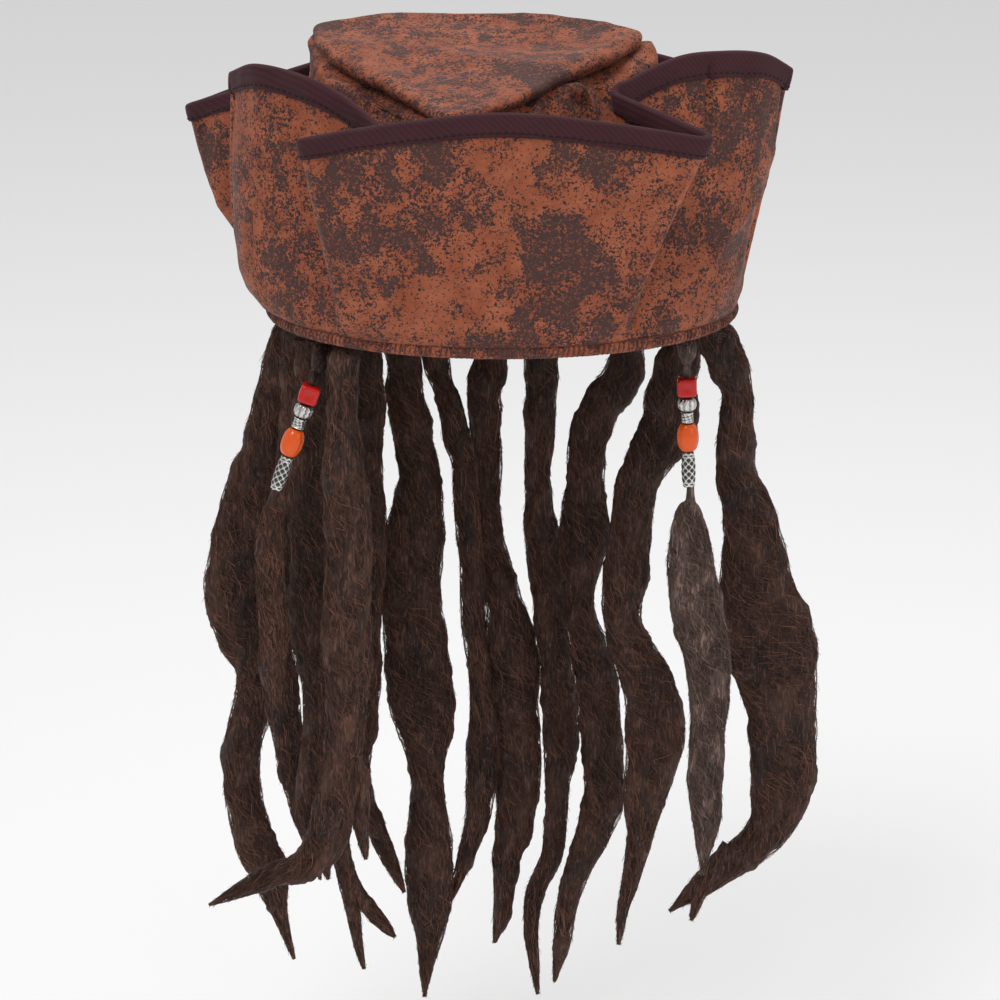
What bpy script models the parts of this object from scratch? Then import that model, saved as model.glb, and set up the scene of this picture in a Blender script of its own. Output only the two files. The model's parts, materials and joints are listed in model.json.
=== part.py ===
"""Costume pirate hat: turned-up pleated brim, soft crown, and dreadlocks with beads sewn inside.

Metres. +X is the wearer's left, -Y the front of the hat, +Z up. The origin is the centre of
the head opening, at the level of the base seam. Every lock and bead has its own origin on the
axis it turns about.
"""

import math

import bpy
from mathutils import Vector

# ---- driving dimensions -------------------------------------------------------------------
HEAD_X, HEAD_Y = 0.1095, 0.0875     # half axes of the base seam, middle of the brim cloth
CLOTH = 0.0012                      # each brim layer
GAP = 0.0003                        # air between neighbouring pieces
BINDING_THICK = 0.0009
TIP_Z, TIP_SLOPE = 0.1155, 0.130    # tip plane: z = TIP_Z + TIP_SLOPE * y
SIDE_THICK, LINING_THICK = 0.0013, 0.0008
BAND_TALL, BAND_THICK = 0.030, 0.0012
WEFT_LOW, WEFT_HIGH, WEFT_THICK = -0.0038, 0.0090, 0.0014
SEAM_OUT, SEAM_THICK = 0.0012, 0.0032
ROOT_X, ROOT_Y, ROOT_Z = 0.0985, 0.0785, -0.0105   # ring of lock hinges
ROOT_R = 0.0060
CORE_R, BORE_CLEAR = 0.0017, 0.0003  # hair core inside the beads
STRAND_ROOT_R = 0.0042              # rounded top of a beaded strand
STRAND_NECK = (0.0036, 0.0034)      # half width and depth between its root and its beads
FOLD_R = 0.0042                     # radius of the brim's folds
COLUMNS = 52                        # crown columns
BAND_COLUMNS = 72                   # base seam columns
LAYER_OFF = 0.8 * GAP               # brim's middle surface to the near face of each layer
SEAM_Z, CLOTH_Z, HEM_Z = -0.0004, 0.0004, 0.0010    # top of the seam, foot of cloth, of band
FLARE_DROP = 0.0085                 # widest level of the crown, below the tip
TIP_THICK, RIDGE_WIDE, RIDGE_HALF = 0.0013, 0.0025, 0.0009
SIDE_DROP, LINER_DROP = 0.0016, 0.0034              # top edges of crown side and lining

# Brim panels: start angle on the seam (degrees, 0 = +X, 90 = back), then the top edge up to the
# next fold. The first point of each panel is a fold corner of the top edge.
PANELS = [
    (230.5, [(-0.1000, -0.0920, 0.0955), (-0.050, -0.0980, 0.1050), (0.000, -0.1000, 0.1105),
           (0.052, -0.0980, 0.1050)]),                                        # front flap
    (297.5, [(0.1010, -0.0920, 0.0960)]),                                     # pleat return
    (303, [(0.0480, -0.0600, 0.1130), (0.0790, -0.0450, 0.1248), (0.1023, -0.0330, 0.1255),
           (0.1214, -0.0200, 0.1218)]),                                       # right flap
    (358, [(0.1346, -0.0050, 0.1125)]),
    (25, [(0.0900, 0.0520, 0.1040)]),
    (33, [(0.1300, 0.0820, 0.0840), (0.070, 0.0990, 0.100), (0.000, 0.1040, 0.1070),
          (-0.080, 0.0980, 0.0980)]),                                         # back flap
    (145, [(-0.1590, 0.0720, 0.0770)]),
    (152, [(-0.1000, 0.0480, 0.1000)]),
    (181, [(-0.1262, -0.0050, 0.1105), (-0.1139, -0.0280, 0.1185), (-0.0911, -0.0450, 0.1165),
           (-0.0730, -0.0550, 0.1093)]),                                      # left flap
    (225.5, [(-0.0540, -0.0680, 0.0960)]),
]
# how far each fold corner, and each panel's middle, bellies out above the seam
FOLD_BELLY = [0.002, 0.002, 0.001, 0.001, 0.003, 0.003, 0.032, 0.004, 0.011, 0.001]
MID_BELLY = [0.003, 0.0, 0.004, 0.002, 0.001, 0.002, 0.0, 0.001, 0.003, 0.0]
ROWS_V = [0.0, 0.10, 0.26, 0.50, 0.74, 0.918, 1.0]   # the last step is the binding's height
FOLD_STEPS, PANEL_STEPS = 4, [8, 2, 8, 3, 2, 9, 2, 2, 8, 2]

# Crown tip outline: seam angle it is sewn over, then x and y
TIP = [(0, 0.0475, 0.008), (22, 0.0580, 0.026), (38, 0.0650, 0.046), (62, 0.0450, 0.066),
       (84, 0.012, 0.0755), (108, -0.043, 0.0760), (135, -0.083, 0.0645), (152, -0.088, 0.048),
       (172, -0.0815, 0.018), (190, -0.072, -0.001), (215, -0.0545, -0.026), (245, -0.038, -0.052),
       (260, -0.0265, -0.0685), (274, -0.013, -0.0665), (300, 0.0050, -0.0480),
       (330, 0.0280, -0.0165)]
TIP_FLARE = [0.0060, 0.0100, 0.0100, 0.0060, 0.005, 0.005, 0.005, 0.005,
             0.006, 0.006, 0.005, 0.004, 0.004, 0.004, 0.004, 0.004]

# Locks: name, depth y, stations (x, z, half width, half depth, own depth y if it differs), mm
LOCKS = [
    ("lock_left_1", 4, [(-102, -19, 8, 6), (-105.5, -36, 9, 6), (-112, -70, 10, 6), (-121, -98, 12, 6.5),
                        (-130, -138, 11.8, 6.5), (-126, -167, 11, 6.5), (-120, -189, 8.5, 6),
                        (-127, -228, 7.6, 6), (-123, -271, 9, 5.5), (-116, -288, 8, 5),
                        (-109, -313, 3, 3), (-104.5, -330, 1.2, 1.2)]),
    ("lock_left_2", -12, [(-96, -20, 6.5, 5.5), (-100, -66, 6.2, 5.5), (-104, -128, 6.6, 6),
                          (-108, -175, 7.4, 6), (-103, -223, 6.2, 5.5), (-93, -257, 6.2, 5),
                          (-88, -274, 3.6, 3.4), (-86, -284, 1.2, 1.2)]),
    ("lock_left_3", -29, [(-90, -14, 6, 5.5), (-90.5, -60, 8, 5.5), (-90.5, -95, 9.4, 5.6),
                          (-91, -140, 9, 5.6), (-88.5, -181, 7, 5.4), (-89, -219, 7, 5.2),
                          (-90, -239, 7.2, 5), (-90, -262, 4.4, 4), (-89, -276, 1.2, 1.2)]),
    ("lock_left_4", -53, [(-74, -20, 6, 5.6), (-74, -54, 7, 6), (-73, -85, 9.2, 6.2),
                          (-72.5, -116, 10, 6.4), (-73, -150, 9.8, 6.4), (-74, -180, 8.8, 6.2),
                          (-76, -212, 8.2, 6), (-80, -236, 8.4, 6.2), (-87, -256, 8, 6),
                          (-97, -266, 6.4, 5.6), (-107, -268.5, 5.4, 5), (-119, -274, 4.2, 4),
                          (-135, -282, 1.2, 1.2)]),
    ("lock_left_5", 59, [(-66.5, -36, 6.4, 5.5), (-66, -86, 7, 5.6), (-66.2, -127, 7.2, 5.8),
                         (-67.6, -182, 7, 5.6), (-69.5, -230, 5.6, 5.2), (-71, -262, 4.8, 4.6),
                         (-64, -288, 4.2, 4), (-56, -306, 3, 3), (-51, -318, 1.2, 1.2)]),
    ("lock_left_6", 40, [(-80, -31, 5.2, 5), (-81, -70, 6, 5.2), (-82, -109, 6, 5.2),
                         (-83, -213, 5.6, 5), (-82.5, -266, 4.6, 4.4), (-79, -302, 4, 4),
                         (-75, -329, 2.7, 2.7), (-71, -349, 1.2, 1.2)]),
    ("lock_back_1", 68, [(-49, -40, 7.2, 5.8), (-47, -63, 7.6, 6), (-43.5, -86, 8.4, 6),
                         (-41.5, -110, 10.4, 6.2), (-43.5, -139, 12.6, 6.5),
                         (-45.5, -167, 13.4, 6.5), (-43, -200, 15, 6.5), (-38.5, -233, 12.5, 6.5),
                         (-38.5, -266, 7.6, 6), (-36.5, -298, 9.8, 6), (-37, -331, 9.6, 5.5),
                         (-38, -357, 5, 4), (-39, -376, 1.3, 1.3)]),
    ("lock_back_2", 74, [(-33, -43, 6.2, 4.8, 72.5), (-29, -60, 5.2, 4.6, 69),
                         (-23, -84, 5.2, 4.4, 67), (-18, -102, 5, 4.4, 67),
                         (-17, -131, 5.6, 4.4, 67), (-14, -178, 5, 4.8, 70),
                         (-11.5, -208, 5, 5), (-9.5, -250, 6.6, 5), (-11, -280, 6, 5),
                         (-17, -302, 4.5, 4.2), (-22, -318, 2.6, 2.6), (-25, -329, 1.2, 1.2)]),
    ("lock_back_3", 77.8, [(-5.5, -44, 6.4, 5), (-8, -68, 7.8, 5), (-8.5, -89, 7.2, 4.8),
                         (-8.5, -124, 6.2, 4.8), (-2, -158, 7.2, 5.4), (4.5, -200, 10.8, 6),
                         (6.8, -226, 11.2, 6), (8, -256, 10, 6), (6.8, -294, 7.8, 5.5),
                         (2, -314, 6, 5), (-0.5, -341, 3.8, 3.6), (-3, -353, 1.3, 1.3)]),
    ("lock_back_4", 76.5, [(20, -45, 7.2, 5.8), (18.5, -67, 6.6, 5.6), (18.5, -115, 6, 5.4),
                         (20.5, -147, 7.4, 5.8), (26, -191, 7.4, 6), (28.5, -226, 7.2, 6),
                         (29.5, -256, 7.4, 6), (28.5, -276, 5.2, 5), (25, -307, 4.3, 4.3),
                         (16.5, -332, 4, 4), (16, -362, 2.5, 2.5), (17.5, -379, 1, 1)]),
    ("lock_back_5", 62, [(62, -38, 6, 5.8), (56, -56, 8.6, 6), (45, -77, 9, 6),
                         (41, -107, 8.2, 6), (40, -137, 10.4, 6.2), (39.5, -171, 6.4, 6),
                         (45, -203, 8.6, 6), (51, -243, 9.4, 6.2), (51, -271, 9, 6),
                         (45, -293, 7, 5.5), (35, -324, 5.2, 5), (30, -349, 3.6, 3.4),
                         (27.5, -366, 1.3, 1.3)]),
    ("lock_right_1", 34, [(89, -26, 7.4, 6), (83, -46, 11, 6.2), (79, -74, 11.2, 6.4),
                          (67.5, -97, 8.6, 6.2), (60.5, -140, 10, 6.4), (60, -170, 7.4, 6),
                          (70, -198, 11.6, 6.5), (76, -227, 12.4, 6.5), (72.5, -258, 9, 6),
                          (67.5, -287, 5.6, 5), (62, -316, 2.6, 2.6), (59.5, -334, 1.2, 1.2)]),
    ("lock_right_2", 4, [(103, -20, 8, 6), (108.5, -34, 8.4, 6.2), (112, -50, 7, 6),
                         (113, -84, 7.8, 6.4), (119, -110, 12.4, 7), (123.5, -144, 16, 7.5),
                         (131, -177, 19.5, 7.5), (138, -223, 13.8, 7), (136.5, -250, 12.5, 6.5),
                         (129, -269, 9.5, 6), (115, -283, 7.6, 5.5), (99, -297, 4.8, 4.4),
                         (87, -307, 1.4, 1.4)]),
]

# Beaded strands: name, root (x, y), bead line start and end (x, y, z), hair below the beads
STRANDS = [
    ("strand_right", (86, -40), (86, -40, -22), (88, -40, -83),
     [(87.5, -90, 4.2, 3.6), (88.5, -108, 9, 5.5), (92.5, -137, 11, 6), (97.5, -169, 8.6, 6),
      (99, -198, 8, 5.5), (97.5, -224, 7, 5), (97.5, -250, 5, 4.2), (97, -268, 1.3, 1.3)]),
    ("strand_left", (-83, -42), (-87, -52, -23), (-107, -54, -80),
     [(-107.5, -88, 4, 3.6), (-108.5, -104, 5.6, 5), (-109, -122, 5.8, 5), (-108, -146, 5.4, 5),
      (-107, -168, 3, 3), (-106.5, -180, 1.2, 1.2)]),
]
# Beads in order down the strand: name, height, squareness (0 = round), profile (height, radius)
BEADS = [
    ("red", 9.2, 0.7, [(0, 3.6), (0.16, 4.9), (0.84, 4.9), (1, 3.6)]),
    ("rosette", 6.6, 0, [(0, 2.7), (0.2, 4.0), (0.5, 4.3), (0.8, 4.0), (1, 2.7)]),
    ("tube", 5.2, 0, [(0, 2.9), (0.15, 3.1), (0.5, 2.8), (0.85, 3.1), (1, 2.9)]),
    ("orange", 13.4, 0, [(0, 2.7), (0.1, 4.1), (0.28, 5.0), (0.5, 5.3), (0.72, 5.0),
                         (0.9, 4.1), (1, 2.7)]),
    ("long", 17.0, 0, [(0, 2.5), (0.1, 2.7), (0.35, 3.2), (0.65, 3.2), (0.9, 2.7), (1, 2.5)]),
]
BEAD_GAP = 0.45                     # mm between stacked beads
MM = 0.001


# ---- helpers ------------------------------------------------------------------------------
def material(name, colour, rough, metal=0.0):
    m = bpy.data.materials.new(name)
    m.use_nodes = True
    bsdf = m.node_tree.nodes["Principled BSDF"]
    bsdf.inputs["Base Color"].default_value = (*colour, 1.0)
    bsdf.inputs["Roughness"].default_value = rough
    bsdf.inputs["Metallic"].default_value = metal
    return m


def signed_volume(verts, faces):
    total = 0.0
    for face in faces:
        a = Vector(verts[face[0]])
        for i, j in zip(face[1:], face[2:]):
            total += a.dot(Vector(verts[i]).cross(Vector(verts[j])))
    return total


def add_mesh(name, verts, faces, mat, origin=(0, 0, 0)):
    """A mesh object facing outwards, its origin on the given point."""
    base = Vector(origin)
    if signed_volume(verts, faces) < 0:
        faces = [tuple(reversed(f)) for f in faces]
    mesh = bpy.data.meshes.new(name)
    mesh.from_pydata([tuple(Vector(v) - base) for v in verts], [], faces)
    mesh.update()
    obj = bpy.data.objects.new(name, mesh)
    obj.location = base
    obj.data.materials.append(mat)
    bpy.context.scene.collection.objects.link(obj)
    return obj


def bridge(rings, closed=False, start=0, falling=()):
    """Triangles between rings of equal length. Every quad is split along the same diagonal,
    and along the other one in the strips named as falling."""
    n, faces = len(rings[0]), []
    last = len(rings) if closed else len(rings) - 1
    for i in range(last):
        a, b = start + i * n, start + ((i + 1) % len(rings)) * n
        for k in range(n):
            q = (k + 1) % n
            if i in falling:
                faces += [(a + k, a + q, b + k), (a + q, b + q, b + k)]
            else:
                faces += [(a + k, a + q, b + q), (a + k, b + q, b + k)]
    return [p for ring in rings for p in ring], faces


def strip(a, b, n):
    """Faces between two rings already in the mesh, given their first vertices."""
    return [(a + k, a + (k + 1) % n, b + (k + 1) % n, b + k) for k in range(n)]


def shell_ring(name, outer, inner, mat):
    """A closed band from outer rows and inner rows, both listed upwards. Both sides split
    their quads alike, so that thin neighbouring layers stay parallel."""
    n = len(outer[0])
    verts, faces = bridge(outer)
    start = len(verts)
    more, back = bridge(inner, start=start)
    faces += [tuple(reversed(f)) for f in back]
    faces += strip((len(outer) - 1) * n, start + (len(inner) - 1) * n, n)
    faces += [tuple(reversed(f)) for f in strip(0, start, n)]
    return add_mesh(name, verts + more, faces, mat)


def capped(name, rings, mat, origin=(0, 0, 0)):
    """A solid from rings listed upwards, its two ends fanned to their middles."""
    verts, faces = bridge(rings)
    n = len(rings[0])
    low, high = len(verts), len(verts) + 1
    for ring in (rings[0], rings[-1]):
        verts.append(sum((Vector(p) for p in ring), Vector()) / n)
    top = (len(rings) - 1) * n
    for k in range(n):
        q = (k + 1) % n
        faces.append((low, q, k))
        faces.append((high, top + k, top + q))
    return add_mesh(name, verts, faces, mat, origin)


def oval(rx, ry, z, n=COLUMNS):
    return [Vector((rx * math.cos(2 * math.pi * k / n), ry * math.sin(2 * math.pi * k / n), z))
            for k in range(n)]


def catmull(points, s):
    """Point at s in 0..1 along a smooth line through the points."""
    m = len(points) - 1
    if m == 1:
        return points[0].lerp(points[1], s)
    x = min(s * m, m - 1e-9)
    i = int(x)
    f = x - i
    p1, p2 = points[i], points[i + 1]
    p0 = points[i - 1] if i else p1 * 2 - p2
    p3 = points[i + 2] if i + 2 <= m else p2 * 2 - p1
    return 0.5 * (2 * p1 + (p2 - p0) * f + (2 * p0 - 5 * p1 + 4 * p2 - p3) * f * f
                  + (3 * p1 - p0 - 3 * p2 + p3) * f ** 3)


# ---- brim ---------------------------------------------------------------------------------
def panel_point(i, s, v):
    """Brim point: panel i, s along it, v up it."""
    n = len(PANELS)
    t0, t1 = PANELS[i][0], PANELS[(i + 1) % n][0]
    if t1 < t0:
        t1 += 360
    t = math.radians(t0 + (t1 - t0) * s)
    base = Vector((HEAD_X * math.cos(t), HEAD_Y * math.sin(t), 0.0004))
    edge = [Vector(p) for p in PANELS[i][1]] + [Vector(PANELS[(i + 1) % n][1][0])]
    top = catmull(edge, s)
    out = Vector((math.cos(t) / HEAD_X, math.sin(t) / HEAD_Y, 0)).normalized()
    belly = (FOLD_BELLY[i] * (1 - s) + FOLD_BELLY[(i + 1) % n] * s
             + MID_BELLY[i] * math.sin(math.pi * s))
    return base.lerp(top, v) + out * belly * math.sin(math.pi * v ** 0.55)


def brim_row(v):
    """One level of the brim's middle surface, its folds rounded."""
    n = len(PANELS)
    lines = [[panel_point(i, s / 24, v) for s in range(25)] for i in range(n)]
    lengths = [sum((b - a).length for a, b in zip(line, line[1:])) for line in lines]
    trims, arcs = [], []
    for i in range(n):
        before, after = lengths[i - 1], lengths[i]
        corner = lines[i][0]
        back = (panel_point((i - 1) % n, 1 - min(0.3, 0.008 / before), v) - corner).normalized()
        ahead = (panel_point(i, min(0.3, 0.008 / after), v) - corner).normalized()
        half = max(0.05, back.angle(ahead) / 2)
        d = min(max(FOLD_R / math.tan(half), 0.0022), 0.42 * before, 0.42 * after)
        trims.append(d)
        a = panel_point((i - 1) % n, 1 - d / before, v)
        b = panel_point(i, d / after, v)
        toward = ((a + b) / 2 - corner).normalized()
        centre = corner + toward * (d / math.cos(half))
        arm_a, arm_b = a - centre, b - centre
        turn, arc = arm_a.angle(arm_b), []
        for k in range(FOLD_STEPS + 1):
            f = k / FOLD_STEPS
            way = (math.sin((1 - f) * turn) * arm_a.normalized()
                   + math.sin(f * turn) * arm_b.normalized()) / math.sin(turn)
            arc.append(centre + way * (arm_a.length * (1 - f) + arm_b.length * f))
        arcs.append(arc)
    row = []
    for i in range(n):
        row += arcs[i]
        s0, s1 = trims[i] / lengths[i], 1 - trims[(i + 1) % n] / lengths[i]
        row += [panel_point(i, s0 + (s1 - s0) * k / PANEL_STEPS[i], v)
                for k in range(1, PANEL_STEPS[i])]
    return row


BRIM = [brim_row(v) for v in ROWS_V]


def brim_frame(j, k):
    """Outward normal and upward direction of the brim cloth at row j, column k."""
    n = len(BRIM[j])
    along = BRIM[j][(k + 1) % n] - BRIM[j][k - 1]
    up = BRIM[min(j + 1, len(BRIM) - 1)][k] - BRIM[max(j - 1, 0)][k]
    normal = along.cross(up)
    if j == 0:
        normal.z = 0.0
    return normal.normalized(), up.normalized()


def brim_layer(offset):
    return [[BRIM[j][k] + brim_frame(j, k)[0] * offset for k in range(len(BRIM[j]))]
            for j in range(len(BRIM))]


def build_brim(mats):
    near, far = LAYER_OFF, LAYER_OFF + CLOTH
    shell_ring("brim_outer", brim_layer(far), brim_layer(near), mats["suede"])
    shell_ring("brim_inner", brim_layer(-near), brim_layer(-far), mats["suede_in"])
    # the binding: a folded tape over the top edge, its hem on the last row but one
    leg, cap = far + 1.6 * GAP, 3 * GAP
    wide, over, shoulder = leg + BINDING_THICK, cap + BINDING_THICK, far - BINDING_THICK / 4
    top, hem = len(BRIM) - 1, len(BRIM) - 2
    section = [(hem, wide, 0), (top, wide, 0), (top, shoulder, over), (top, -shoulder, over),
               (top, -wide, 0), (hem, -wide, 0), (hem, -leg, 0), (top, -leg, cap),
               (top, leg, cap), (hem, leg, 0)]
    rings = []
    for row, out, rise in section:
        frames = [brim_frame(row, k) for k in range(len(BRIM[row]))]
        rings.append([p + f[0] * out + f[1] * rise for p, f in zip(BRIM[row], frames)])
    verts, faces = bridge(rings, closed=True, falling=(4, 8))
    add_mesh("brim_binding", verts, faces, mats["binding"])


# ---- crown --------------------------------------------------------------------------------
def tip_control(extra):
    """Tip outline points pushed outwards by extra times each point's flare."""
    points = [Vector((x, y, 0)) for _, x, y in TIP]
    out = []
    for i, p in enumerate(points):
        along = points[(i + 1) % len(points)] - points[i - 1]
        out.append(p + Vector((along.y, -along.x, 0)).normalized() * (TIP_FLARE[i] * extra))
    return out


def tip_outline(inset=0.0, extra=0.0, n=COLUMNS):
    """Closed tip outline, one point per crown column, moved inwards by inset."""
    control, angles = tip_control(extra), [a for a, _, _ in TIP]
    m = len(control)
    raw = []
    for k in range(n):
        t = 360 * k / n
        i = max(j for j in range(m) if angles[j] <= t)
        a1 = angles[i + 1] if i + 1 < m else 360
        f = (t - angles[i]) / (a1 - angles[i])
        p0, p1, p2, p3 = (control[(i + d) % m] for d in (-1, 0, 1, 2))
        raw.append(0.5 * (2 * p1 + (p2 - p0) * f + (2 * p0 - 5 * p1 + 4 * p2 - p3) * f * f
                          + (3 * p1 - p0 - 3 * p2 + p3) * f ** 3))
    ring = []
    for k, p in enumerate(raw):
        along = raw[(k + 1) % n] - raw[k - 1]
        ring.append(p - Vector((along.y, -along.x, 0)).normalized() * inset)
    return ring


def on_tip_plane(ring, drop):
    return [Vector((p.x, p.y, TIP_Z + TIP_SLOPE * p.y - drop)) for p in ring]


def crown_rows(inset, bottom, drop):
    """Rows of the crown's side, from the seam up over the flare to the tip's edge."""
    inset_all = LAYER_OFF + CLOTH + 3 * GAP + inset
    low = oval(HEAD_X - inset_all, HEAD_Y - inset_all, bottom)
    flare = on_tip_plane(tip_outline(inset, 1.0), FLARE_DROP + drop)
    edge = on_tip_plane(tip_outline(inset), drop)
    rows = [low]
    for f in (0.22, 0.5, 0.78):
        rows.append([a.lerp(b, f) for a, b in zip(low, flare)])
    return rows + [flare, edge]


def crown_level(inset, z):
    """Crown outline at one height below the flare."""
    rows = crown_rows(inset, CLOTH_Z, SIDE_DROP)
    return [a.lerp(b, (z - a.z) / (b.z - a.z)) for a, b in zip(rows[0], rows[4])]


def build_crown(mats):
    outer = crown_rows(0.0, CLOTH_Z, SIDE_DROP)
    inner = crown_rows(SIDE_THICK, CLOTH_Z, SIDE_DROP)
    shell_ring("crown_side", outer, inner, mats["suede_side"])
    plate = tip_outline(2 * GAP)
    capped("crown_tip", [on_tip_plane(plate, TIP_THICK), on_tip_plane(plate, 0.0)],
           mats["suede_tip"])
    # seam allowance ridge lying round the tip, outside its edge
    ridge = [[on_tip_plane(tip_outline(-out), drop) for drop in (RIDGE_HALF, -RIDGE_HALF)]
             for out in (GAP / 3 + RIDGE_WIDE, GAP / 3)]
    shell_ring("crown_seam_ridge", *ridge, mats["suede"])
    liner_out = crown_rows(SIDE_THICK + 2 * GAP, CLOTH_Z, LINER_DROP)
    liner_in = crown_rows(SIDE_THICK + 2 * GAP + LINING_THICK, CLOTH_Z, LINER_DROP + LINING_THICK)
    lining(liner_out, liner_in, mats["lining"])
    build_bands(mats)


def lining(outer, inner, mat):
    """A bag open below: outer rows, across the top, then inner rows back down."""
    verts, faces = bridge(outer)
    n = COLUMNS
    verts.append(sum((Vector(p) for p in outer[-1]), Vector()) / n)
    hub, top = len(verts) - 1, (len(outer) - 1) * n
    faces += [(hub, top + k, top + (k + 1) % n) for k in range(n)]
    start = len(verts)
    more, inner_faces = bridge(inner, start=start)
    verts += more
    faces += [tuple(reversed(f)) for f in inner_faces]
    verts.append(sum((Vector(p) for p in inner[-1]), Vector()) / n)
    hub, top = len(verts) - 1, start + (len(inner) - 1) * n
    faces += [(hub, top + (k + 1) % n, top + k) for k in range(n)]
    faces += [(start + k, start + (k + 1) % n, (k + 1) % n, k) for k in range(n)]
    add_mesh("crown_lining", verts, faces, mat)


def build_bands(mats):
    band = SIDE_THICK + 4.5 * GAP + LINING_THICK
    shell_ring("sweatband",
               [crown_level(band, HEM_Z), crown_level(band, BAND_TALL)],
               [crown_level(band + BAND_THICK, HEM_Z),
                crown_level(band + BAND_THICK, BAND_TALL)], mats["band"])
    weft = band + BAND_THICK + 3 * GAP
    walls = []
    for inset in (weft, weft + WEFT_THICK):
        low = crown_level(inset, CLOTH_Z)
        for p in low:
            p.z = WEFT_LOW
        walls.append([low, crown_level(inset, WEFT_HIGH)])
    shell_ring("hair_weft_band", *walls, mats["weft"])
    # the overlocked edge: its outer and inner rows, as (inset, height)
    sides = [[(0.0010, SEAM_Z - 0.0046), (0, SEAM_Z - 0.0036), (0, SEAM_Z - 0.0008),
              (0.0008, SEAM_Z)],
             [(0.0020, SEAM_Z - 0.0046), (SEAM_THICK, SEAM_Z - 0.0036),
              (SEAM_THICK, SEAM_Z - 0.0008), (0.0024, SEAM_Z)]]
    rows = [[oval(HEAD_X + SEAM_OUT - inset, HEAD_Y + SEAM_OUT - inset, z, BAND_COLUMNS)
             for inset, z in side] for side in sides]
    shell_ring("base_seam", *rows, mats["thread"])


# ---- hair ---------------------------------------------------------------------------------
def tube(name, stations, mat, origin, sides=8):
    """A solid of oval sections square to its run; stations are (point, half width, half depth)
    listed downwards from the root."""
    rings = []
    for i, (p, hw, hd) in enumerate(stations):
        ahead = stations[min(i + 1, len(stations) - 1)][0] - stations[max(i - 1, 0)][0]
        down = ahead.normalized()
        across = Vector((1, 0, 0)) - down * down.x
        across.normalize()
        deep = across.cross(down).normalized()
        rings.append([p + across * (hw * math.cos(2 * math.pi * k / sides))
                      - deep * (hd * math.sin(2 * math.pi * k / sides)) for k in range(sides)])
    return capped(name, rings[::-1], mat, origin)


def root_cap(root):
    """Stations that round the top of a lock about its hinge."""
    caps = []
    for up in (78, 48, 20):
        a = math.radians(up)
        r = ROOT_R * math.cos(a)
        caps.append((root + Vector((0, 0, ROOT_R * math.sin(a))), r, r))
    return caps


def build_locks(mats):
    for i, (name, y, stations) in enumerate(LOCKS):
        x0 = stations[0][0] * MM
        limit = ROOT_X * math.sqrt(max(0.0, 1 - (y * MM / ROOT_Y) ** 2))
        root = Vector((math.copysign(min(abs(x0), limit), x0), y * MM, ROOT_Z))
        line = root_cap(root)
        for x, z, hw, hd, *own in stations:
            line.append((Vector((x, own[0] if own else y, z)) * MM, hw * MM, hd * MM))
        tube(name, line, mats["hair_dark" if i % 2 else "hair"], root)


def bead(name, centre, axis, height, squareness, profile, mat, n=16):
    """A turned bead with a bore. Squareness pulls its outline from a circle towards a square."""
    other = Vector((0, 1, 0)) - axis * axis.y
    other.normalize()
    side = other.cross(axis)
    bore = CORE_R + BORE_CLEAR

    def ring(f, radius, square):
        mid = centre + axis * ((0.5 - f) * height)
        out = []
        for k in range(n):
            a = 2 * math.pi * k / n
            reach = radius / max(abs(math.cos(a)), abs(math.sin(a))) ** square
            out.append(mid + side * (reach * math.cos(a)) + other * (reach * math.sin(a)))
        return out

    outer = [ring(f, r * MM, squareness) for f, r in profile[::-1]]
    verts, faces = bridge(outer + [ring(0, bore, 0), ring(1, bore, 0)], True)
    return add_mesh(name, verts, faces, mat, centre)


def build_strands(mats):
    look = {"red": "bead_red", "orange": "bead_orange"}
    for name, root, start, end, hair in STRANDS:
        hinge = Vector((root[0], root[1], 0)) * MM + Vector((0, 0, ROOT_Z))
        a, b = Vector(start) * MM, Vector(end) * MM
        axis = (a - b).normalized()   # up the strand
        y_low = end[1]
        line = [(hinge + Vector((0, 0, r * STRAND_ROOT_R)), c * STRAND_ROOT_R, c * STRAND_ROOT_R)
                for r, c in ((0.98, 0.2), (0.74, 0.67), (0.34, 0.94))]
        line += [(hinge.lerp(a, 0.5), *STRAND_NECK), (a, CORE_R, CORE_R), (b, CORE_R, CORE_R)]
        line += [(Vector((x, y_low, z)) * MM, hw * MM, hd * MM) for x, z, hw, hd in hair]
        tube(name, line, mats["hair"], hinge)
        total = sum(h for _, h, _, _ in BEADS) + BEAD_GAP * (len(BEADS) - 1)
        at = ((a - b).length / MM - total) / 2
        for kind, height, squareness, profile in BEADS:
            centre = a - axis * ((at + height / 2) * MM)
            bead("bead_%s_%s" % (kind, name.split("_")[1]), centre, axis, height * MM,
                 squareness, profile, mats[look.get(kind, "bead_silver")])
            at += height + BEAD_GAP


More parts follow.
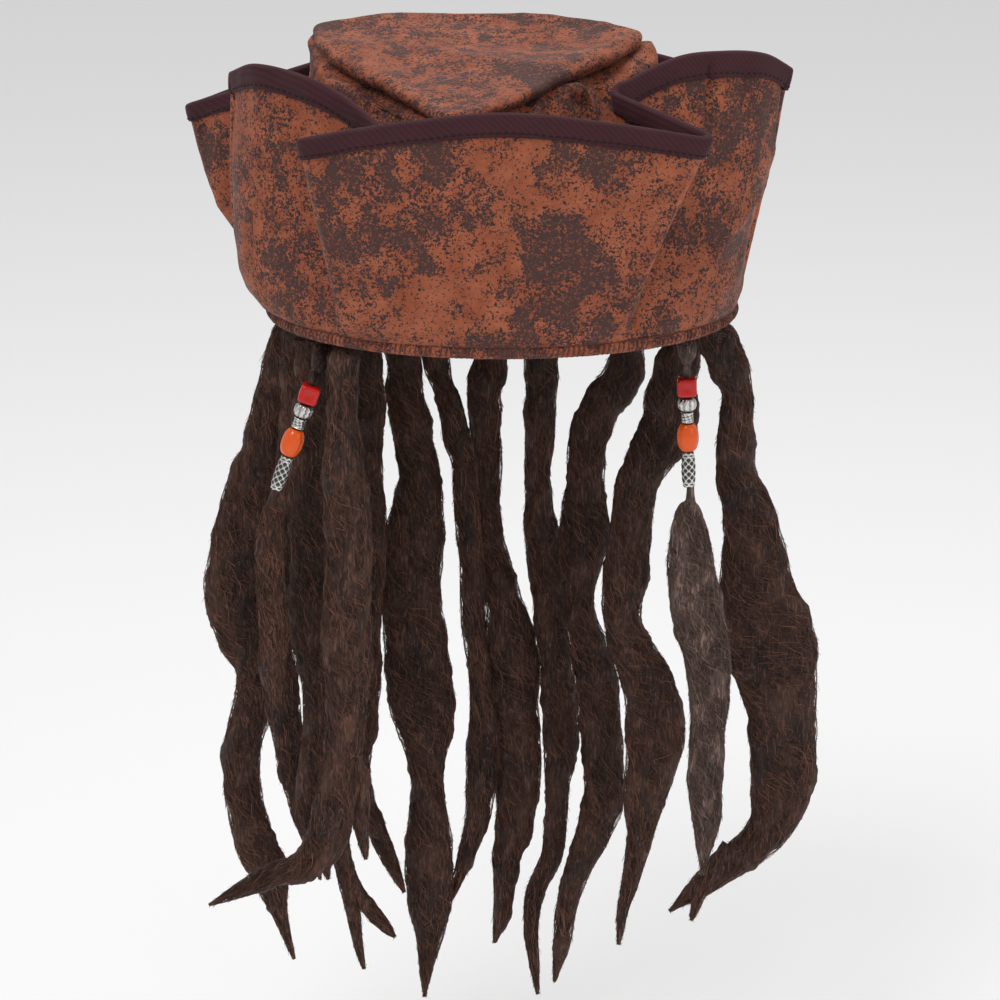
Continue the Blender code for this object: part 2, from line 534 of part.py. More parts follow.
# ---- build --------------------------------------------------------------------------------
def main():
    for obj in list(bpy.data.objects):
        bpy.data.objects.remove(obj, do_unlink=True)
    mats = {
        "suede": material("suede", (0.33, 0.095, 0.045), 0.75),
        "suede_in": material("suede_in", (0.30, 0.085, 0.042), 0.78),
        "suede_side": material("suede_side", (0.31, 0.09, 0.045), 0.75),
        "suede_tip": material("suede_tip", (0.34, 0.10, 0.048), 0.75),
        "binding": material("binding", (0.067, 0.022, 0.024), 0.7),
        "thread": material("thread", (0.10, 0.03, 0.03), 0.6),
        "lining": material("lining", (0.03, 0.02, 0.02), 0.6),
        "band": material("band", (0.05, 0.03, 0.025), 0.65),
        "weft": material("weft", (0.03, 0.018, 0.014), 0.8),
        "hair": material("hair", (0.045, 0.022, 0.016), 0.7),
        "hair_dark": material("hair_dark", (0.036, 0.018, 0.013), 0.7),
        "bead_red": material("bead_red", (0.58, 0.02, 0.01), 0.25),
        "bead_orange": material("bead_orange", (0.80, 0.12, 0.02), 0.25),
        "bead_silver": material("bead_silver", (0.45, 0.44, 0.42), 0.35, 1.0),
    }
    build_brim(mats)
    build_crown(mats)
    build_locks(mats)
    build_strands(mats)


main()
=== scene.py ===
"""The looks of the pirate hat: printed suede, twill binding, overlocked edge, felted locks, beads.

Metres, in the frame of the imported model. -Y is the front of the hat and +Z is up. Lengths in
tables are millimetres where a comment says so.
"""

import json
import math

import bpy
import numpy as np
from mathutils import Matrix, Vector


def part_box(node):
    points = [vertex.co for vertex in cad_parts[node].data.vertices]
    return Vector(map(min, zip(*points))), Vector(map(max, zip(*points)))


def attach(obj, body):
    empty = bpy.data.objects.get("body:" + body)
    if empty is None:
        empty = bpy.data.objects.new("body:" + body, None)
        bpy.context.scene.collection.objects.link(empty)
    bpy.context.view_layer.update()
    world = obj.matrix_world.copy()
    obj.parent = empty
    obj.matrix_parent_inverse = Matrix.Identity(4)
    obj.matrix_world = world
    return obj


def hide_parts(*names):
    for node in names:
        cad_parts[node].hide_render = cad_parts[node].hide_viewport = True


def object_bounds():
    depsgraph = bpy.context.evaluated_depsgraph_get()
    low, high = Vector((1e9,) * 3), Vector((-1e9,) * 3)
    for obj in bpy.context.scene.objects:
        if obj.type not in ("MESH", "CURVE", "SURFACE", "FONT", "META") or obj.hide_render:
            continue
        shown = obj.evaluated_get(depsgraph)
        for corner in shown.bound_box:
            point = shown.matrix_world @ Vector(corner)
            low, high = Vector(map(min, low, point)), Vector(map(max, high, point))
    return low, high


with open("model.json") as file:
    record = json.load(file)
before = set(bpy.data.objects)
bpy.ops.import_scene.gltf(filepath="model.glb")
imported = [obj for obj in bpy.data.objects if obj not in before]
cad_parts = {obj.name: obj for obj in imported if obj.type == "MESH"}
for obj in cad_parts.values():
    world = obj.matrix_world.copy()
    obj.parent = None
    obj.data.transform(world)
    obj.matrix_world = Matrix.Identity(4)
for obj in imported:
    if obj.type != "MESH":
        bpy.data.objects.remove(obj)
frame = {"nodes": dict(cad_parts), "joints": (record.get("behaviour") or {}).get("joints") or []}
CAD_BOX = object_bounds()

MM = 0.001
HEAD_X, HEAD_Y = 0.1095, 0.0875     # half axes of the base seam
FOLD_R = 0.0042
TIP_Z, TIP_SLOPE = 0.1155, 0.130
CLOTH_HALF = 0.0011                 # half the thickness of the brim's two cloths together

# ---- mesh helpers -------------------------------------------------------------------------


def new_mesh(name, verts, face_sets, mat, smooth=True):
    """A mesh object from an (n, 3) array and arrays of faces, each with its own corner count."""
    verts = np.asarray(verts, float)
    corners = np.concatenate([np.asarray(f, np.int64).ravel() for f in face_sets])
    sizes = np.concatenate([np.full(len(f), np.asarray(f).shape[1]) for f in face_sets])
    mesh = bpy.data.meshes.new(name)
    mesh.vertices.add(len(verts))
    mesh.vertices.foreach_set("co", verts.ravel())
    mesh.loops.add(len(corners))
    mesh.loops.foreach_set("vertex_index", corners.astype(np.int32))
    mesh.polygons.add(len(sizes))
    starts = np.concatenate([[0], np.cumsum(sizes)[:-1]])
    mesh.polygons.foreach_set("loop_start", starts.astype(np.int32))
    mesh.update(calc_edges=True)
    mesh.validate()
    mesh.polygons.foreach_set("use_smooth", np.full(len(mesh.polygons), smooth))
    mesh.materials.append(mat)
    obj = bpy.data.objects.new(name, mesh)
    bpy.context.scene.collection.objects.link(obj)
    return obj


def grid_faces(rows, cols, wrap_rows=False):
    """Quads over a grid whose columns close on themselves."""
    last = rows if wrap_rows else rows - 1
    i, k = np.meshgrid(np.arange(last), np.arange(cols), indexing="ij")
    a, b = i * cols, ((i + 1) % rows) * cols
    q = (k + 1) % cols
    return np.stack([a + k, a + q, b + q, b + k], -1).reshape(-1, 4)


def capped_tube(grid):
    """Vertices and faces of a closed tube from a (rows, cols, 3) grid of rings."""
    rows, cols, _ = grid.shape
    verts = np.concatenate([grid.reshape(-1, 3), grid[0].mean(0)[None], grid[-1].mean(0)[None]])
    k = np.arange(cols)
    q = (k + 1) % cols
    low = np.full(cols, rows * cols)
    caps = np.concatenate([np.stack([low, q, k], 1),
                           np.stack([low + 1, (rows - 1) * cols + k, (rows - 1) * cols + q], 1)])
    return verts, [grid_faces(rows, cols), caps]


def merged(parts):
    """One mesh's vertices and face sets from several (verts, face sets)."""
    verts, faces, start = [], {}, 0
    for v, sets in parts:
        verts.append(v)
        for f in sets:
            faces.setdefault(f.shape[1], []).append(f + start)
        start += len(v)
    return np.concatenate(verts), [np.concatenate(f) for f in faces.values()]


def unit(v):
    return v / np.maximum(np.linalg.norm(v, axis=-1, keepdims=True), 1e-12)


def waves(p, size, seed, count=14):
    """Smooth noise about 0, its lumps about size across."""
    rng = np.random.default_rng(seed)
    way = unit(rng.normal(size=(count, 3))) * (math.pi / size) * rng.uniform(0.6, 1.4, (count, 1))
    phase = rng.uniform(0, 2 * math.pi, count)
    return np.sin(np.asarray(p) @ way.T + phase).sum(-1) / math.sqrt(count / 2)


def smoothstep(x, low, high):
    t = np.clip((x - low) / (high - low), 0, 1)
    return t * t * (3 - 2 * t)


def catmull(points, s):
    """Points at each s in 0..1 along a smooth line through the points."""
    points = np.asarray(points, float)
    m = len(points) - 1
    padded = np.vstack([2 * points[0] - points[1], points, 2 * points[-1] - points[-2]])
    x = np.clip(np.asarray(s, float) * m, 0, m - 1e-9)
    i = x.astype(int)
    f = (x - i)[:, None]
    p0, p1, p2, p3 = (padded[i + d] for d in range(4))
    return 0.5 * (2 * p1 + (p2 - p0) * f + (2 * p0 - 5 * p1 + 4 * p2 - p3) * f ** 2
                  + (3 * p1 - p0 - 3 * p2 + p3) * f ** 3)


def set_values(obj, name, values):
    """A number for each vertex, which a material can read by name."""
    layer = obj.data.attributes.new(name, "FLOAT", "POINT")
    layer.data.foreach_set("value", np.asarray(values, np.float32))


# ---- materials ----------------------------------------------------------------------------


class Nodes:
    """A short way to write a node tree."""

    def __init__(self, name, rough, metal=0.0, sheen=0.0, specular=0.5, tint=(1, 1, 1)):
        self.mat = bpy.data.materials.new(name)
        self.mat.use_nodes = True
        self.tree = self.mat.node_tree
        self.bsdf = self.tree.nodes["Principled BSDF"]
        self.bsdf.inputs["Roughness"].default_value = rough
        self.bsdf.inputs["Metallic"].default_value = metal
        self.bsdf.inputs["Sheen Weight"].default_value = sheen
        self.bsdf.inputs["Sheen Roughness"].default_value = 0.5
        self.bsdf.inputs["Sheen Tint"].default_value = (*tint, 1)
        self.bsdf.inputs["Specular IOR Level"].default_value = specular

    def add(self, kind, inputs=None, **settings):
        node = self.tree.nodes.new(kind)
        for key, value in settings.items():
            setattr(node, key, value)
        for key, value in (inputs or {}).items():
            if isinstance(value, bpy.types.NodeSocket):
                self.tree.links.new(value, node.inputs[key])
            else:
                node.inputs[key].default_value = value
        return node

    def place(self, scale=(1, 1, 1), turn=(0, 0, 0)):
        coords = self.add("ShaderNodeTexCoord").outputs["Object"]
        mapping = self.add("ShaderNodeMapping", {"Vector": coords, "Scale": scale,
                                                 "Rotation": turn})
        return mapping.outputs["Vector"]

    def noise(self, scale, detail=3.0, stretch=(1, 1, 1), rough=0.55, turn=(0, 0, 0), warp=0.0):
        settings = {"Vector": self.place(stretch, turn), "Scale": scale, "Detail": detail,
                    "Roughness": rough, "Distortion": warp}
        return self.add("ShaderNodeTexNoise", settings).outputs["Fac"]

    def ribs(self, pitch, warp, turn=(0, 0, 0)):
        """Diagonal bands about pitch metres apart."""
        settings = {"Vector": self.place(turn=turn), "Scale": math.pi / (20 * pitch),
                    "Distortion": warp, "Detail": 1.0}
        return self.add("ShaderNodeTexWave", settings, bands_direction="DIAGONAL",
                        wave_type="BANDS").outputs["Fac"]

    def ramp(self, value, stops):
        node = self.add("ShaderNodeValToRGB", {"Fac": value})
        while len(node.color_ramp.elements) < len(stops):
            node.color_ramp.elements.new(0.5)
        for element, (at, colour) in zip(node.color_ramp.elements, stops):
            element.position, element.color = at, (*colour, 1)
        return node.outputs["Color"]

    def math(self, operation, a, b=0.0, c=0.0):
        return self.add("ShaderNodeMath", {0: a, 1: b, 2: c}, operation=operation).outputs[0]

    def mix(self, fac, a, b, blend="MIX"):
        node = self.add("ShaderNodeMix", data_type="RGBA", blend_type=blend)
        for key, value in (("Factor_Float", fac), ("A_Color", a), ("B_Color", b)):
            socket = next(s for s in node.inputs if s.identifier == key)
            if isinstance(value, bpy.types.NodeSocket):
                self.tree.links.new(value, socket)
            else:
                socket.default_value = value if isinstance(value, float) else (*value, 1)
        return next(s for s in node.outputs if s.identifier == "Result_Color")

    def value(self, name):
        return self.add("ShaderNodeAttribute", attribute_name=name).outputs["Fac"]

    def bump(self, height, strength, distance, under=None):
        node = self.add("ShaderNodeBump", {"Height": height, "Strength": strength,
                                           "Distance": distance})
        if under is not None:
            self.tree.links.new(under, node.inputs["Normal"])
        return node.outputs["Normal"]

    def done(self, colour=None, normal=None, rough=None):
        for socket, key in ((colour, "Base Color"), (normal, "Normal"), (rough, "Roughness")):
            if isinstance(socket, bpy.types.NodeSocket):
                self.tree.links.new(socket, self.bsdf.inputs[key])
            elif socket is not None:
                self.bsdf.inputs[key].default_value = (*socket, 1)
        return self.mat


def suede(name, shade=1.0):
    """Rust suede printed with dark ink that breaks up into small worm-shaped specks."""
    n = Nodes(name, 0.7, sheen=0.05, specular=0.22)
    specks = n.noise(820.0, 1.5, warp=0.9)
    blots = n.noise(150.0, 5.0, rough=0.72, warp=0.5)
    fine = n.math("MULTIPLY", n.math("SUBTRACT", specks, 0.5), 4.0)
    broad = n.math("MULTIPLY_ADD", n.math("SUBTRACT", blots, 0.5), 2.5, n.value("patch"))
    broad = n.math("MINIMUM", n.math("MAXIMUM", broad, 0.02), 0.90)
    mask = n.math("ADD", broad, fine)
    # shade scales every colour; the brim inside's 0.92 is painted shade.
    rust = tuple(c * shade for c in (0.235, 0.057, 0.023))
    worn = tuple(c * shade for c in (0.365, 0.108, 0.052))
    dark = tuple(c * shade for c in (0.036, 0.019, 0.0195))
    brown = tuple(c * shade for c in (0.070, 0.032, 0.027))
    inked = n.ramp(mask, [(0.46, (0, 0, 0)), (0.56, (1, 1, 1))])
    base = n.mix(n.ramp(n.noise(70, 5.0, rough=0.75), [(0.35, (0, 0, 0)), (0.68, (1, 1, 1))]),
                 rust, worn)
    film = n.ramp(broad, [(0.45, (0, 0, 0)), (0.90, (1, 1, 1))])
    ink = n.mix(n.math("MULTIPLY", film, 0.8), dark, brown)
    stained = n.mix(n.math("MULTIPLY", film, 0.45), base, brown)
    colour = n.mix(inked, stained, ink)
    crease = n.ramp(n.value("crease"), [(0.0, (1, 1, 1)), (1.0, (1.30, 1.28, 1.26))])
    colour = n.mix(1.0, colour, crease, "MULTIPLY")
    nap = n.bump(n.noise(1500, 2.0), 0.22, 0.0003)
    soft = n.bump(n.noise(210, 4.0, rough=0.6), 0.40, 0.0010, nap)
    return n.done(colour, soft)


def twill(name, dark, light, pitch=0.0008):
    """Diagonal twill: fine slanting ribs crossed by a finer thread."""
    n = Nodes(name, 0.75, sheen=0.04, specular=0.22)
    cross = n.ribs(pitch / 1.6, 0.5, turn=(0.6, 0.9, 1.3))
    height = n.math("MULTIPLY_ADD", cross, 0.4, n.ribs(pitch, 0.6))
    fuzz = n.bump(n.noise(1800, 2.0), 0.2, 0.0002)
    weave = n.bump(height, 0.35, 0.0002, fuzz)
    shade = n.math("MULTIPLY_ADD", n.noise(45, 3.0), 0.5, n.math("MULTIPLY", height, 0.22))
    return n.done(n.ramp(shade, [(0.1, dark), (0.8, light)]), weave)


def hair(name, dark, light, slant=0.3):
    """Felted hair: fine slanting fibres over softer clumps, with painted sheen patches and painted
    highlight streaks.
    """
    n = Nodes(name, 0.46, sheen=0.02, specular=0.22, tint=(0.55, 0.36, 0.28))
    strands = n.noise(560, 4.0, stretch=(1, 1, 0.17), rough=0.75, turn=(0.3, slant, 0))
    # Fine streaks that feed the painted highlights further down.
    glint_streaks = n.noise(1100, 2.0, stretch=(1, 1, 0.16), rough=0.6, turn=(-0.4, slant * 1.5, 0))
    clumps = n.noise(75, 5.0, stretch=(1, 1, 0.5), rough=0.65)
    # Broad patches brightened as painted sheen over the hair.
    sheen_swells = n.noise(24, 2.0)
    shade = n.math("MULTIPLY_ADD", strands, 0.65, n.math("MULTIPLY", clumps, 0.5))
    shade = n.math("MULTIPLY_ADD", sheen_swells, 0.35, shade)
    colour = n.ramp(shade, [(0.62, dark), (0.88, light)])
    # Painted highlights: streaks and clump tops lightened towards 2.4 times the light colour.
    glint = n.ramp(n.math("MULTIPLY_ADD", clumps, 0.35, glint_streaks), [(0.70, (0, 0, 0)),
                                                               (0.86, (1, 1, 1))])
    colour = n.mix(n.math("MULTIPLY", glint, 0.75), colour, tuple(c * 2.4 for c in light))
    normal = n.bump(strands, 1.0, 0.0014, n.bump(clumps, 0.8, 0.003))
    return n.done(colour, normal)


def fibre(name, dark, light):
    n = Nodes(name, 0.36, sheen=0.02, specular=0.26, tint=(0.6, 0.4, 0.3))
    return n.done(n.ramp(n.value("tone"), [(0.0, dark), (0.75, light),
                                           (1.0, tuple(c * 1.9 for c in light))]))


def silver(name):
    """Cast metal with dark patina in its hollows."""
    n = Nodes(name, 0.3, metal=1.0)
    grime = n.math("MULTIPLY_ADD", n.noise(900, 3.0), 0.35, n.value("relief"))
    colour = n.ramp(grime, [(0.30, (0.060, 0.057, 0.054)), (0.62, (0.24, 0.235, 0.225)),
                            (1.0, (0.68, 0.67, 0.65))])
    rough = n.ramp(grime, [(0.3, (0.6, 0.6, 0.6)), (0.7, (0.22, 0.22, 0.22))])
    return n.done(colour, n.bump(n.noise(1400, 2.0), 0.15, 0.0002), rough)


def glossy(name, colour, deep):
    n = Nodes(name, 0.09, specular=0.45)
    mix = n.mix(n.noise(260, 3.0), colour, deep)
    return n.done(mix, n.bump(n.noise(240, 2.0), 0.10, 0.0004))


MATS = {
    "suede": suede("suede"),
    # The inside copy is the same suede 8% darker for the brim's inner face: painted shade. The
    # crown's copy is 2% darker.
    "suede_in": suede("suede_inside", 0.92),
    "suede_crown": suede("suede_crown", 0.98),
    "tape": twill("binding_twill", (0.027, 0.0066, 0.0090), (0.066, 0.0175, 0.0235)),
    "stitch": twill("stitch_thread", (0.010, 0.003, 0.004), (0.026, 0.008, 0.010), 0.0006),
    "edge_thread": twill("overlock_thread", (0.045, 0.018, 0.016), (0.19, 0.062, 0.040), 0.0006),
    "lining": twill("lining_weave", (0.012, 0.009, 0.009), (0.035, 0.025, 0.024), 0.0009),
    "band": twill("sweatband_weave", (0.030, 0.017, 0.014), (0.070, 0.042, 0.034), 0.0016),
    "weft": twill("weft_weave", (0.014, 0.008, 0.007), (0.036, 0.021, 0.017), 0.0012),
    "hair": hair("felted_hair", (0.0090, 0.0041, 0.0032), (0.068, 0.0300, 0.0200)),
    "hair_slant": hair("felted_hair_slant", (0.0080, 0.0036, 0.0028), (0.062, 0.0275, 0.0185),
                       -0.35),
    "fibre": fibre("hair_fibres", (0.012, 0.0054, 0.0040), (0.165, 0.0760, 0.0510)),
    "tassel": hair("tassel_hair", (0.024, 0.013, 0.010), (0.120, 0.075, 0.060)),
    "tassel_fibre": fibre("tassel_fibres", (0.030, 0.017, 0.013), (0.170, 0.110, 0.090)),
    "silver": silver("antiqued_silver"),
    "red": glossy("red_gloss", (0.56, 0.009, 0.004), (0.38, 0.004, 0.003)),
    "orange": glossy("orange_gloss", (0.80, 0.105, 0.002), (0.64, 0.072, 0.002)),
}

# ---- the print ----------------------------------------------------------------------------
# Large marks of the printed cloth: x, y, z, then reach in x, y and z (mm), and how dark (+) or
# how rust (-) each one is.
MARKS = [
    (-72, -95, 76, 20, 40, 15, 0.30), (-34, -97, 55, 20, 40, 14, 0.42),
    (-33, -99, 86, 13, 40, 10, 0.36), (2, -100, 79, 9, 40, 11, 0.42),
    (44, -98, 88, 12, 40, 12, 0.40), (-62, -92, 44, 24, 40, 9, 0.38),
    (14, -95, 49, 19, 40, 10, 0.40), (42, -92, 41, 25, 40, 13, 0.46),
    (20, -90, 14, 28, 40, 13, 0.46), (-46, -86, 9, 24, 40, 8, 0.30),
    (76, -80, 56, 13, 26, 18, 0.32), (114, -30, 100, 20, 30, 26, 0.50),
    (96, -50, 60, 12, 26, 16, 0.20), (104, -34, 26, 16, 30, 12, 0.24),
    (-108, -40, 84, 7, 26, 30, 0.44), (-124, -12, 58, 7, 26, 34, 0.34),
    (-97, -52, 36, 7, 26, 30, 0.34), (-150, 70, 60, 14, 26, 24, 0.34),
    (-20, 30, 120, 22, 16, 16, 0.34), (30, -8, 117, 22, 16, 16, 0.40),
    (-70, 52, 124, 16, 16, 12, 0.36), (30, 66, 126, 22, 10, 12, 0.38),
    (72, -92, 76, 20, 30, 18, -0.40), (-22, -92, 29, 26, 40, 10, -0.40),
    (-52, -96, 62, 13, 40, 6, -0.32), (-13, -99, 64, 13, 40, 15, -0.36),
    (33, -98, 69, 22, 40, 8, -0.40), (-112, -25, 40, 6, 20, 40, -0.30),
    (-45, -5, 116, 22, 20, 14, -0.34), (5, 25, 120, 16, 18, 14, -0.24),
]


def patch_value(p):
    """How dark the print is at each point: above 0.5 the dark ink wins."""
    warped = p + 0.006 * np.stack([waves(p, 0.016, seed) for seed in (14, 15, 16)], -1)
    value = 0.42 + 0.15 * waves(warped, 0.030, 11) + 0.13 * waves(warped, 0.013, 12) \
        + 0.10 * waves(warped, 0.006, 13)
    for x, y, z, rx, ry, rz, depth in MARKS:
        far = ((warped[..., 0] - x * MM) / (rx * MM)) ** 2 \
            + ((warped[..., 1] - y * MM) / (ry * MM)) ** 2 \
            + ((warped[..., 2] - z * MM) / (rz * MM)) ** 2
        value = value + 0.75 * depth * np.exp(-0.9 * far)
    return value


# ---- brim ---------------------------------------------------------------------------------
# The panels of part.py: seam angle, then the top edge up to the next fold.
PANELS = [
    (230.5, [(-0.1000, -0.0920, 0.0955), (-0.050, -0.0980, 0.1050), (0.000, -0.1000, 0.1105),
           (0.052, -0.0980, 0.1050)]),                                        # front flap
    (297.5, [(0.1010, -0.0920, 0.0960)]),                                     # pleat return
    (303, [(0.0480, -0.0600, 0.1130), (0.0790, -0.0450, 0.1248), (0.1023, -0.0330, 0.1255),
           (0.1214, -0.0200, 0.1218)]),                                       # right flap
    (358, [(0.1346, -0.0050, 0.1125)]),
    (25, [(0.0900, 0.0520, 0.1040)]),
    (33, [(0.1300, 0.0820, 0.0840), (0.070, 0.0990, 0.100), (0.000, 0.1040, 0.1070),
          (-0.080, 0.0980, 0.0980)]),                                         # back flap
    (145, [(-0.1590, 0.0720, 0.0770)]),
    (152, [(-0.1000, 0.0480, 0.1000)]),
    (181, [(-0.1262, -0.0050, 0.1105), (-0.1139, -0.0280, 0.1185), (-0.0911, -0.0450, 0.1165),
           (-0.0730, -0.0550, 0.1093)]),                                      # left flap
    (225.5, [(-0.0540, -0.0680, 0.0960)]),
]
FOLD_BELLY = [0.002, 0.002, 0.001, 0.001, 0.003, 0.003, 0.032, 0.004, 0.011, 0.001]
MID_BELLY = [0.003, 0.0, 0.004, 0.002, 0.001, 0.002, 0.0, 0.001, 0.003, 0.0]
FOLD_STEPS = 8
PANEL_STEPS = [96, 26, 72, 36, 24, 132, 26, 26, 60, 22]
HEM_V = 0.918                       # where the binding's hem runs
BRIM_V = np.concatenate([np.linspace(0, 0.9, 40), [HEM_V, 0.934, 0.95, 0.967, 0.984, 1.0]])


def panel_points(i, s, v):
    """Points of panel i at each s along it, at height v."""
    n = len(PANELS)
    t0, t1 = PANELS[i][0], PANELS[(i + 1) % n][0]
    t1 += 360 if t1 < t0 else 0
    t = np.radians(t0 + (t1 - t0) * s)
    base = np.stack([HEAD_X * np.cos(t), HEAD_Y * np.sin(t), 0 * t + 0.0004], -1)
    top = catmull(PANELS[i][1] + [PANELS[(i + 1) % n][1][0]], s)
    out = unit(np.stack([np.cos(t) / HEAD_X, np.sin(t) / HEAD_Y, 0 * t], -1))
    belly = FOLD_BELLY[i] * (1 - s) + FOLD_BELLY[(i + 1) % n] * s \
        + MID_BELLY[i] * np.sin(math.pi * s)
    return base + (top - base) * v + out * (belly * math.sin(math.pi * v ** 0.55))[:, None]


def brim_row(v):
    """One level of the brim, its folds rounded, and how near a fold each point is."""
    n = len(PANELS)
    at = np.linspace(0, 1, 49)
    lengths = [np.linalg.norm(np.diff(panel_points(i, at, v), axis=0), axis=1).sum()
               for i in range(n)]

    def one(i, s):
        return panel_points(i % n, np.array([s]), v)[0]

    trims, arcs = [], []
    for i in range(n):
        before, after = lengths[i - 1], lengths[i]
        corner = one(i, 0.0)
        back = unit(one(i - 1, 1 - min(0.3, 0.008 / before)) - corner)
        ahead = unit(one(i, min(0.3, 0.008 / after)) - corner)
        half = max(0.05, math.acos(np.clip(back @ ahead, -1, 1)) / 2)
        d = min(max(FOLD_R / math.tan(half), 0.0022), 0.42 * before, 0.42 * after)
        trims.append(d)
        a, b = one(i - 1, 1 - d / before), one(i, d / after)
        centre = corner + unit((a + b) / 2 - corner) * (d / math.cos(half))
        ra, rb = a - centre, b - centre
        turn = math.acos(np.clip(unit(ra) @ unit(rb), -1, 1))
        f = np.linspace(0, 1, FOLD_STEPS + 1)[:, None]
        way = (np.sin((1 - f) * turn) * unit(ra) + np.sin(f * turn) * unit(rb)) / math.sin(turn)
        arcs.append(centre + way * (np.linalg.norm(ra) * (1 - f) + np.linalg.norm(rb) * f))
    row, sharp = [], []
    for i in range(n):
        row.append(arcs[i])
        sharp.append(np.sin(np.linspace(0, math.pi, FOLD_STEPS + 1)))
        s0, s1 = trims[i] / lengths[i], 1 - trims[(i + 1) % n] / lengths[i]
        s = s0 + (s1 - s0) * np.arange(1, PANEL_STEPS[i]) / PANEL_STEPS[i]
        row.append(panel_points(i, s, v))
        sharp.append(0 * s)
    return np.concatenate(row), np.concatenate(sharp)


def normals_of(grid):
    along = np.roll(grid, -1, axis=1) - np.roll(grid, 1, axis=1)
    up = np.gradient(grid, axis=0)
    return unit(np.cross(along, up)), unit(up)


def ridged(p, size, seed):
    """Noise with narrow crests, like creases in cloth."""
    return 1 - np.minimum(np.abs(waves(p, size, seed)), 1)


def build_brim_grid():
    """The brim's middle surface with its wrinkles, its normals and its fold sharpness."""
    rows, sharps = zip(*(brim_row(v) for v in BRIM_V))
    grid, sharp = np.stack(rows), np.stack(sharps)
    normal, _ = normals_of(grid)
    normal[0, :, 2] = 0
    normal = unit(normal)
    v = BRIM_V[:, None]
    free = smoothstep(v, 0.0, 0.1) * (1 - smoothstep(v, 0.9, 1.0) * 0.75) * (1 - 0.8 * sharp)
    tall = grid * np.array([1, 1, 0.6])
    wide = grid * np.array([0.45, 0.45, 1.0])
    lift = 0.0012 * waves(grid, 0.045, 21) + 0.0017 * (ridged(tall, 0.040, 22) - 0.5)
    lift += 0.0015 * (ridged(wide, 0.022, 23) - 0.6) * smoothstep(1 - v, 0.25, 0.7)
    lift += 0.0007 * (ridged(wide, 0.010, 26) - 0.6) * smoothstep(waves(grid, 0.04, 27), 0.2, 1)
    pucker = waves(grid * np.array([1, 1, 0.15]), 0.0085, 24)
    lift += 0.0009 * pucker * np.exp(-((v - 0.87) / 0.08) ** 2)
    gather = waves(grid * np.array([1, 1, 0.2]), 0.006, 25)
    lift += 0.0008 * gather * np.exp(-((v - 0.05) / 0.05) ** 2)
    return grid + normal * (lift * free)[..., None], sharp


def brim_tuck(grid):
    """A short pleat sewn into the right flap, below its binding."""
    right = np.exp(-((grid[..., 0] - 0.094) / 0.0016) ** 2) * (grid[..., 1] < -0.02)
    low = smoothstep(BRIM_V[:, None], 0.60, 0.86) * (1 - smoothstep(BRIM_V[:, None], 0.94, 1.0))
    return -0.0022 * right * low


def build_brim():
    grid, sharp = build_brim_grid()
    normal, _ = normals_of(grid)
    grid = grid + normal * brim_tuck(grid)[..., None]
    normal, up = normals_of(grid)
    normal[0, :, 2] = 0
    normal = unit(normal)
    rows, cols = grid.shape[:2]
    outer, inner = grid + normal * CLOTH_HALF, grid - normal * CLOTH_HALF
    crisp = sharp * smoothstep(BRIM_V[:, None], 0.05, 0.4)
    # The inside cloth takes the darker suede copy: painted shade.
    for name, side, far, skin, flip in (
            ("brim_cloth_outside", outer, grid + normal * 0.0001, "suede", False),
            ("brim_cloth_inside", inner, grid - normal * 0.0001, "suede_in", True)):
        ring = np.concatenate([side, far[::-1]])
        faces = grid_faces(2 * rows, cols, wrap_rows=True)
        if flip:
            faces = faces[:, ::-1]
        obj = new_mesh(name, ring.reshape(-1, 3), [faces], MATS[skin])
        set_values(obj, "patch", patch_value(ring).ravel())
        set_values(obj, "crease", np.concatenate([crisp, crisp[::-1]]).ravel())
        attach(obj, "hat")
        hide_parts("brim_outer" if not flip else "brim_inner")
    build_binding(grid, normal, up)


def build_binding(grid, normal, up):
    """Bias tape folded over the edge, slightly uneven, with a row of stitches near its hem."""
    first = int(np.argmin(np.abs(BRIM_V - HEM_V)))
    leg, top = list(range(first, len(BRIM_V))), len(BRIM_V) - 1
    cols = grid.shape[1]
    wobble = 0.00018 * waves(grid[top] * np.array([1, 1, 0.3]), 0.006, 31)
    stand = CLOTH_HALF + 0.0010 + wobble
    inside = CLOTH_HALF + 0.0002
    rings = []

    def leg_ring(row, out):
        swell = 1 + 0.10 * math.sin(math.pi * (row - first) / (top - first))
        return grid[row] + normal[row] * (out * swell)[:, None]

    for row in leg:
        rings.append(leg_ring(row, stand))
    for a in np.radians([20, 50, 90, 130, 160]):
        rings.append(grid[top] + normal[top] * (stand * math.cos(a))[:, None]
                     + up[top] * (0.0019 * math.sin(a)))
    for row in leg[::-1]:
        rings.append(leg_ring(row, -stand))
    for row, out in ((first, -inside), (top, -inside), (top, inside), (first, inside)):
        rings.append(grid[row] + normal[row] * out)
    faces = grid_faces(len(rings), cols, wrap_rows=True)
    obj = new_mesh("binding_tape", np.concatenate(rings), [faces], MATS["tape"])
    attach(obj, "hat")
    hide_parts("brim_binding")
    row = first + 1                 # the stitches run just above the hem
    for side, name in ((1, "outside"), (-1, "inside")):
        path = grid[row] + normal[row] * (side * (stand * 1.06))[:, None]
        stitches(path, 0.0034, 0.0024, 0.00046, "binding_stitches_" + name, "stitch")


def along_path(path, pitch):
    """Points every pitch metres along a closed path, and the directions there."""
    closed = np.vstack([path, path[:1]])
    far = np.concatenate([[0], np.cumsum(np.linalg.norm(np.diff(closed, axis=0), axis=1))])
    count = int(far[-1] / pitch)
    at = np.arange(count) * far[-1] / count
    mids = np.stack([np.interp(at, far, closed[:, i]) for i in range(3)], -1)
    ahead = np.stack([np.interp((at + pitch * 0.4) % far[-1], far, closed[:, i])
                      for i in range(3)], -1)
    return mids, unit(ahead - mids)


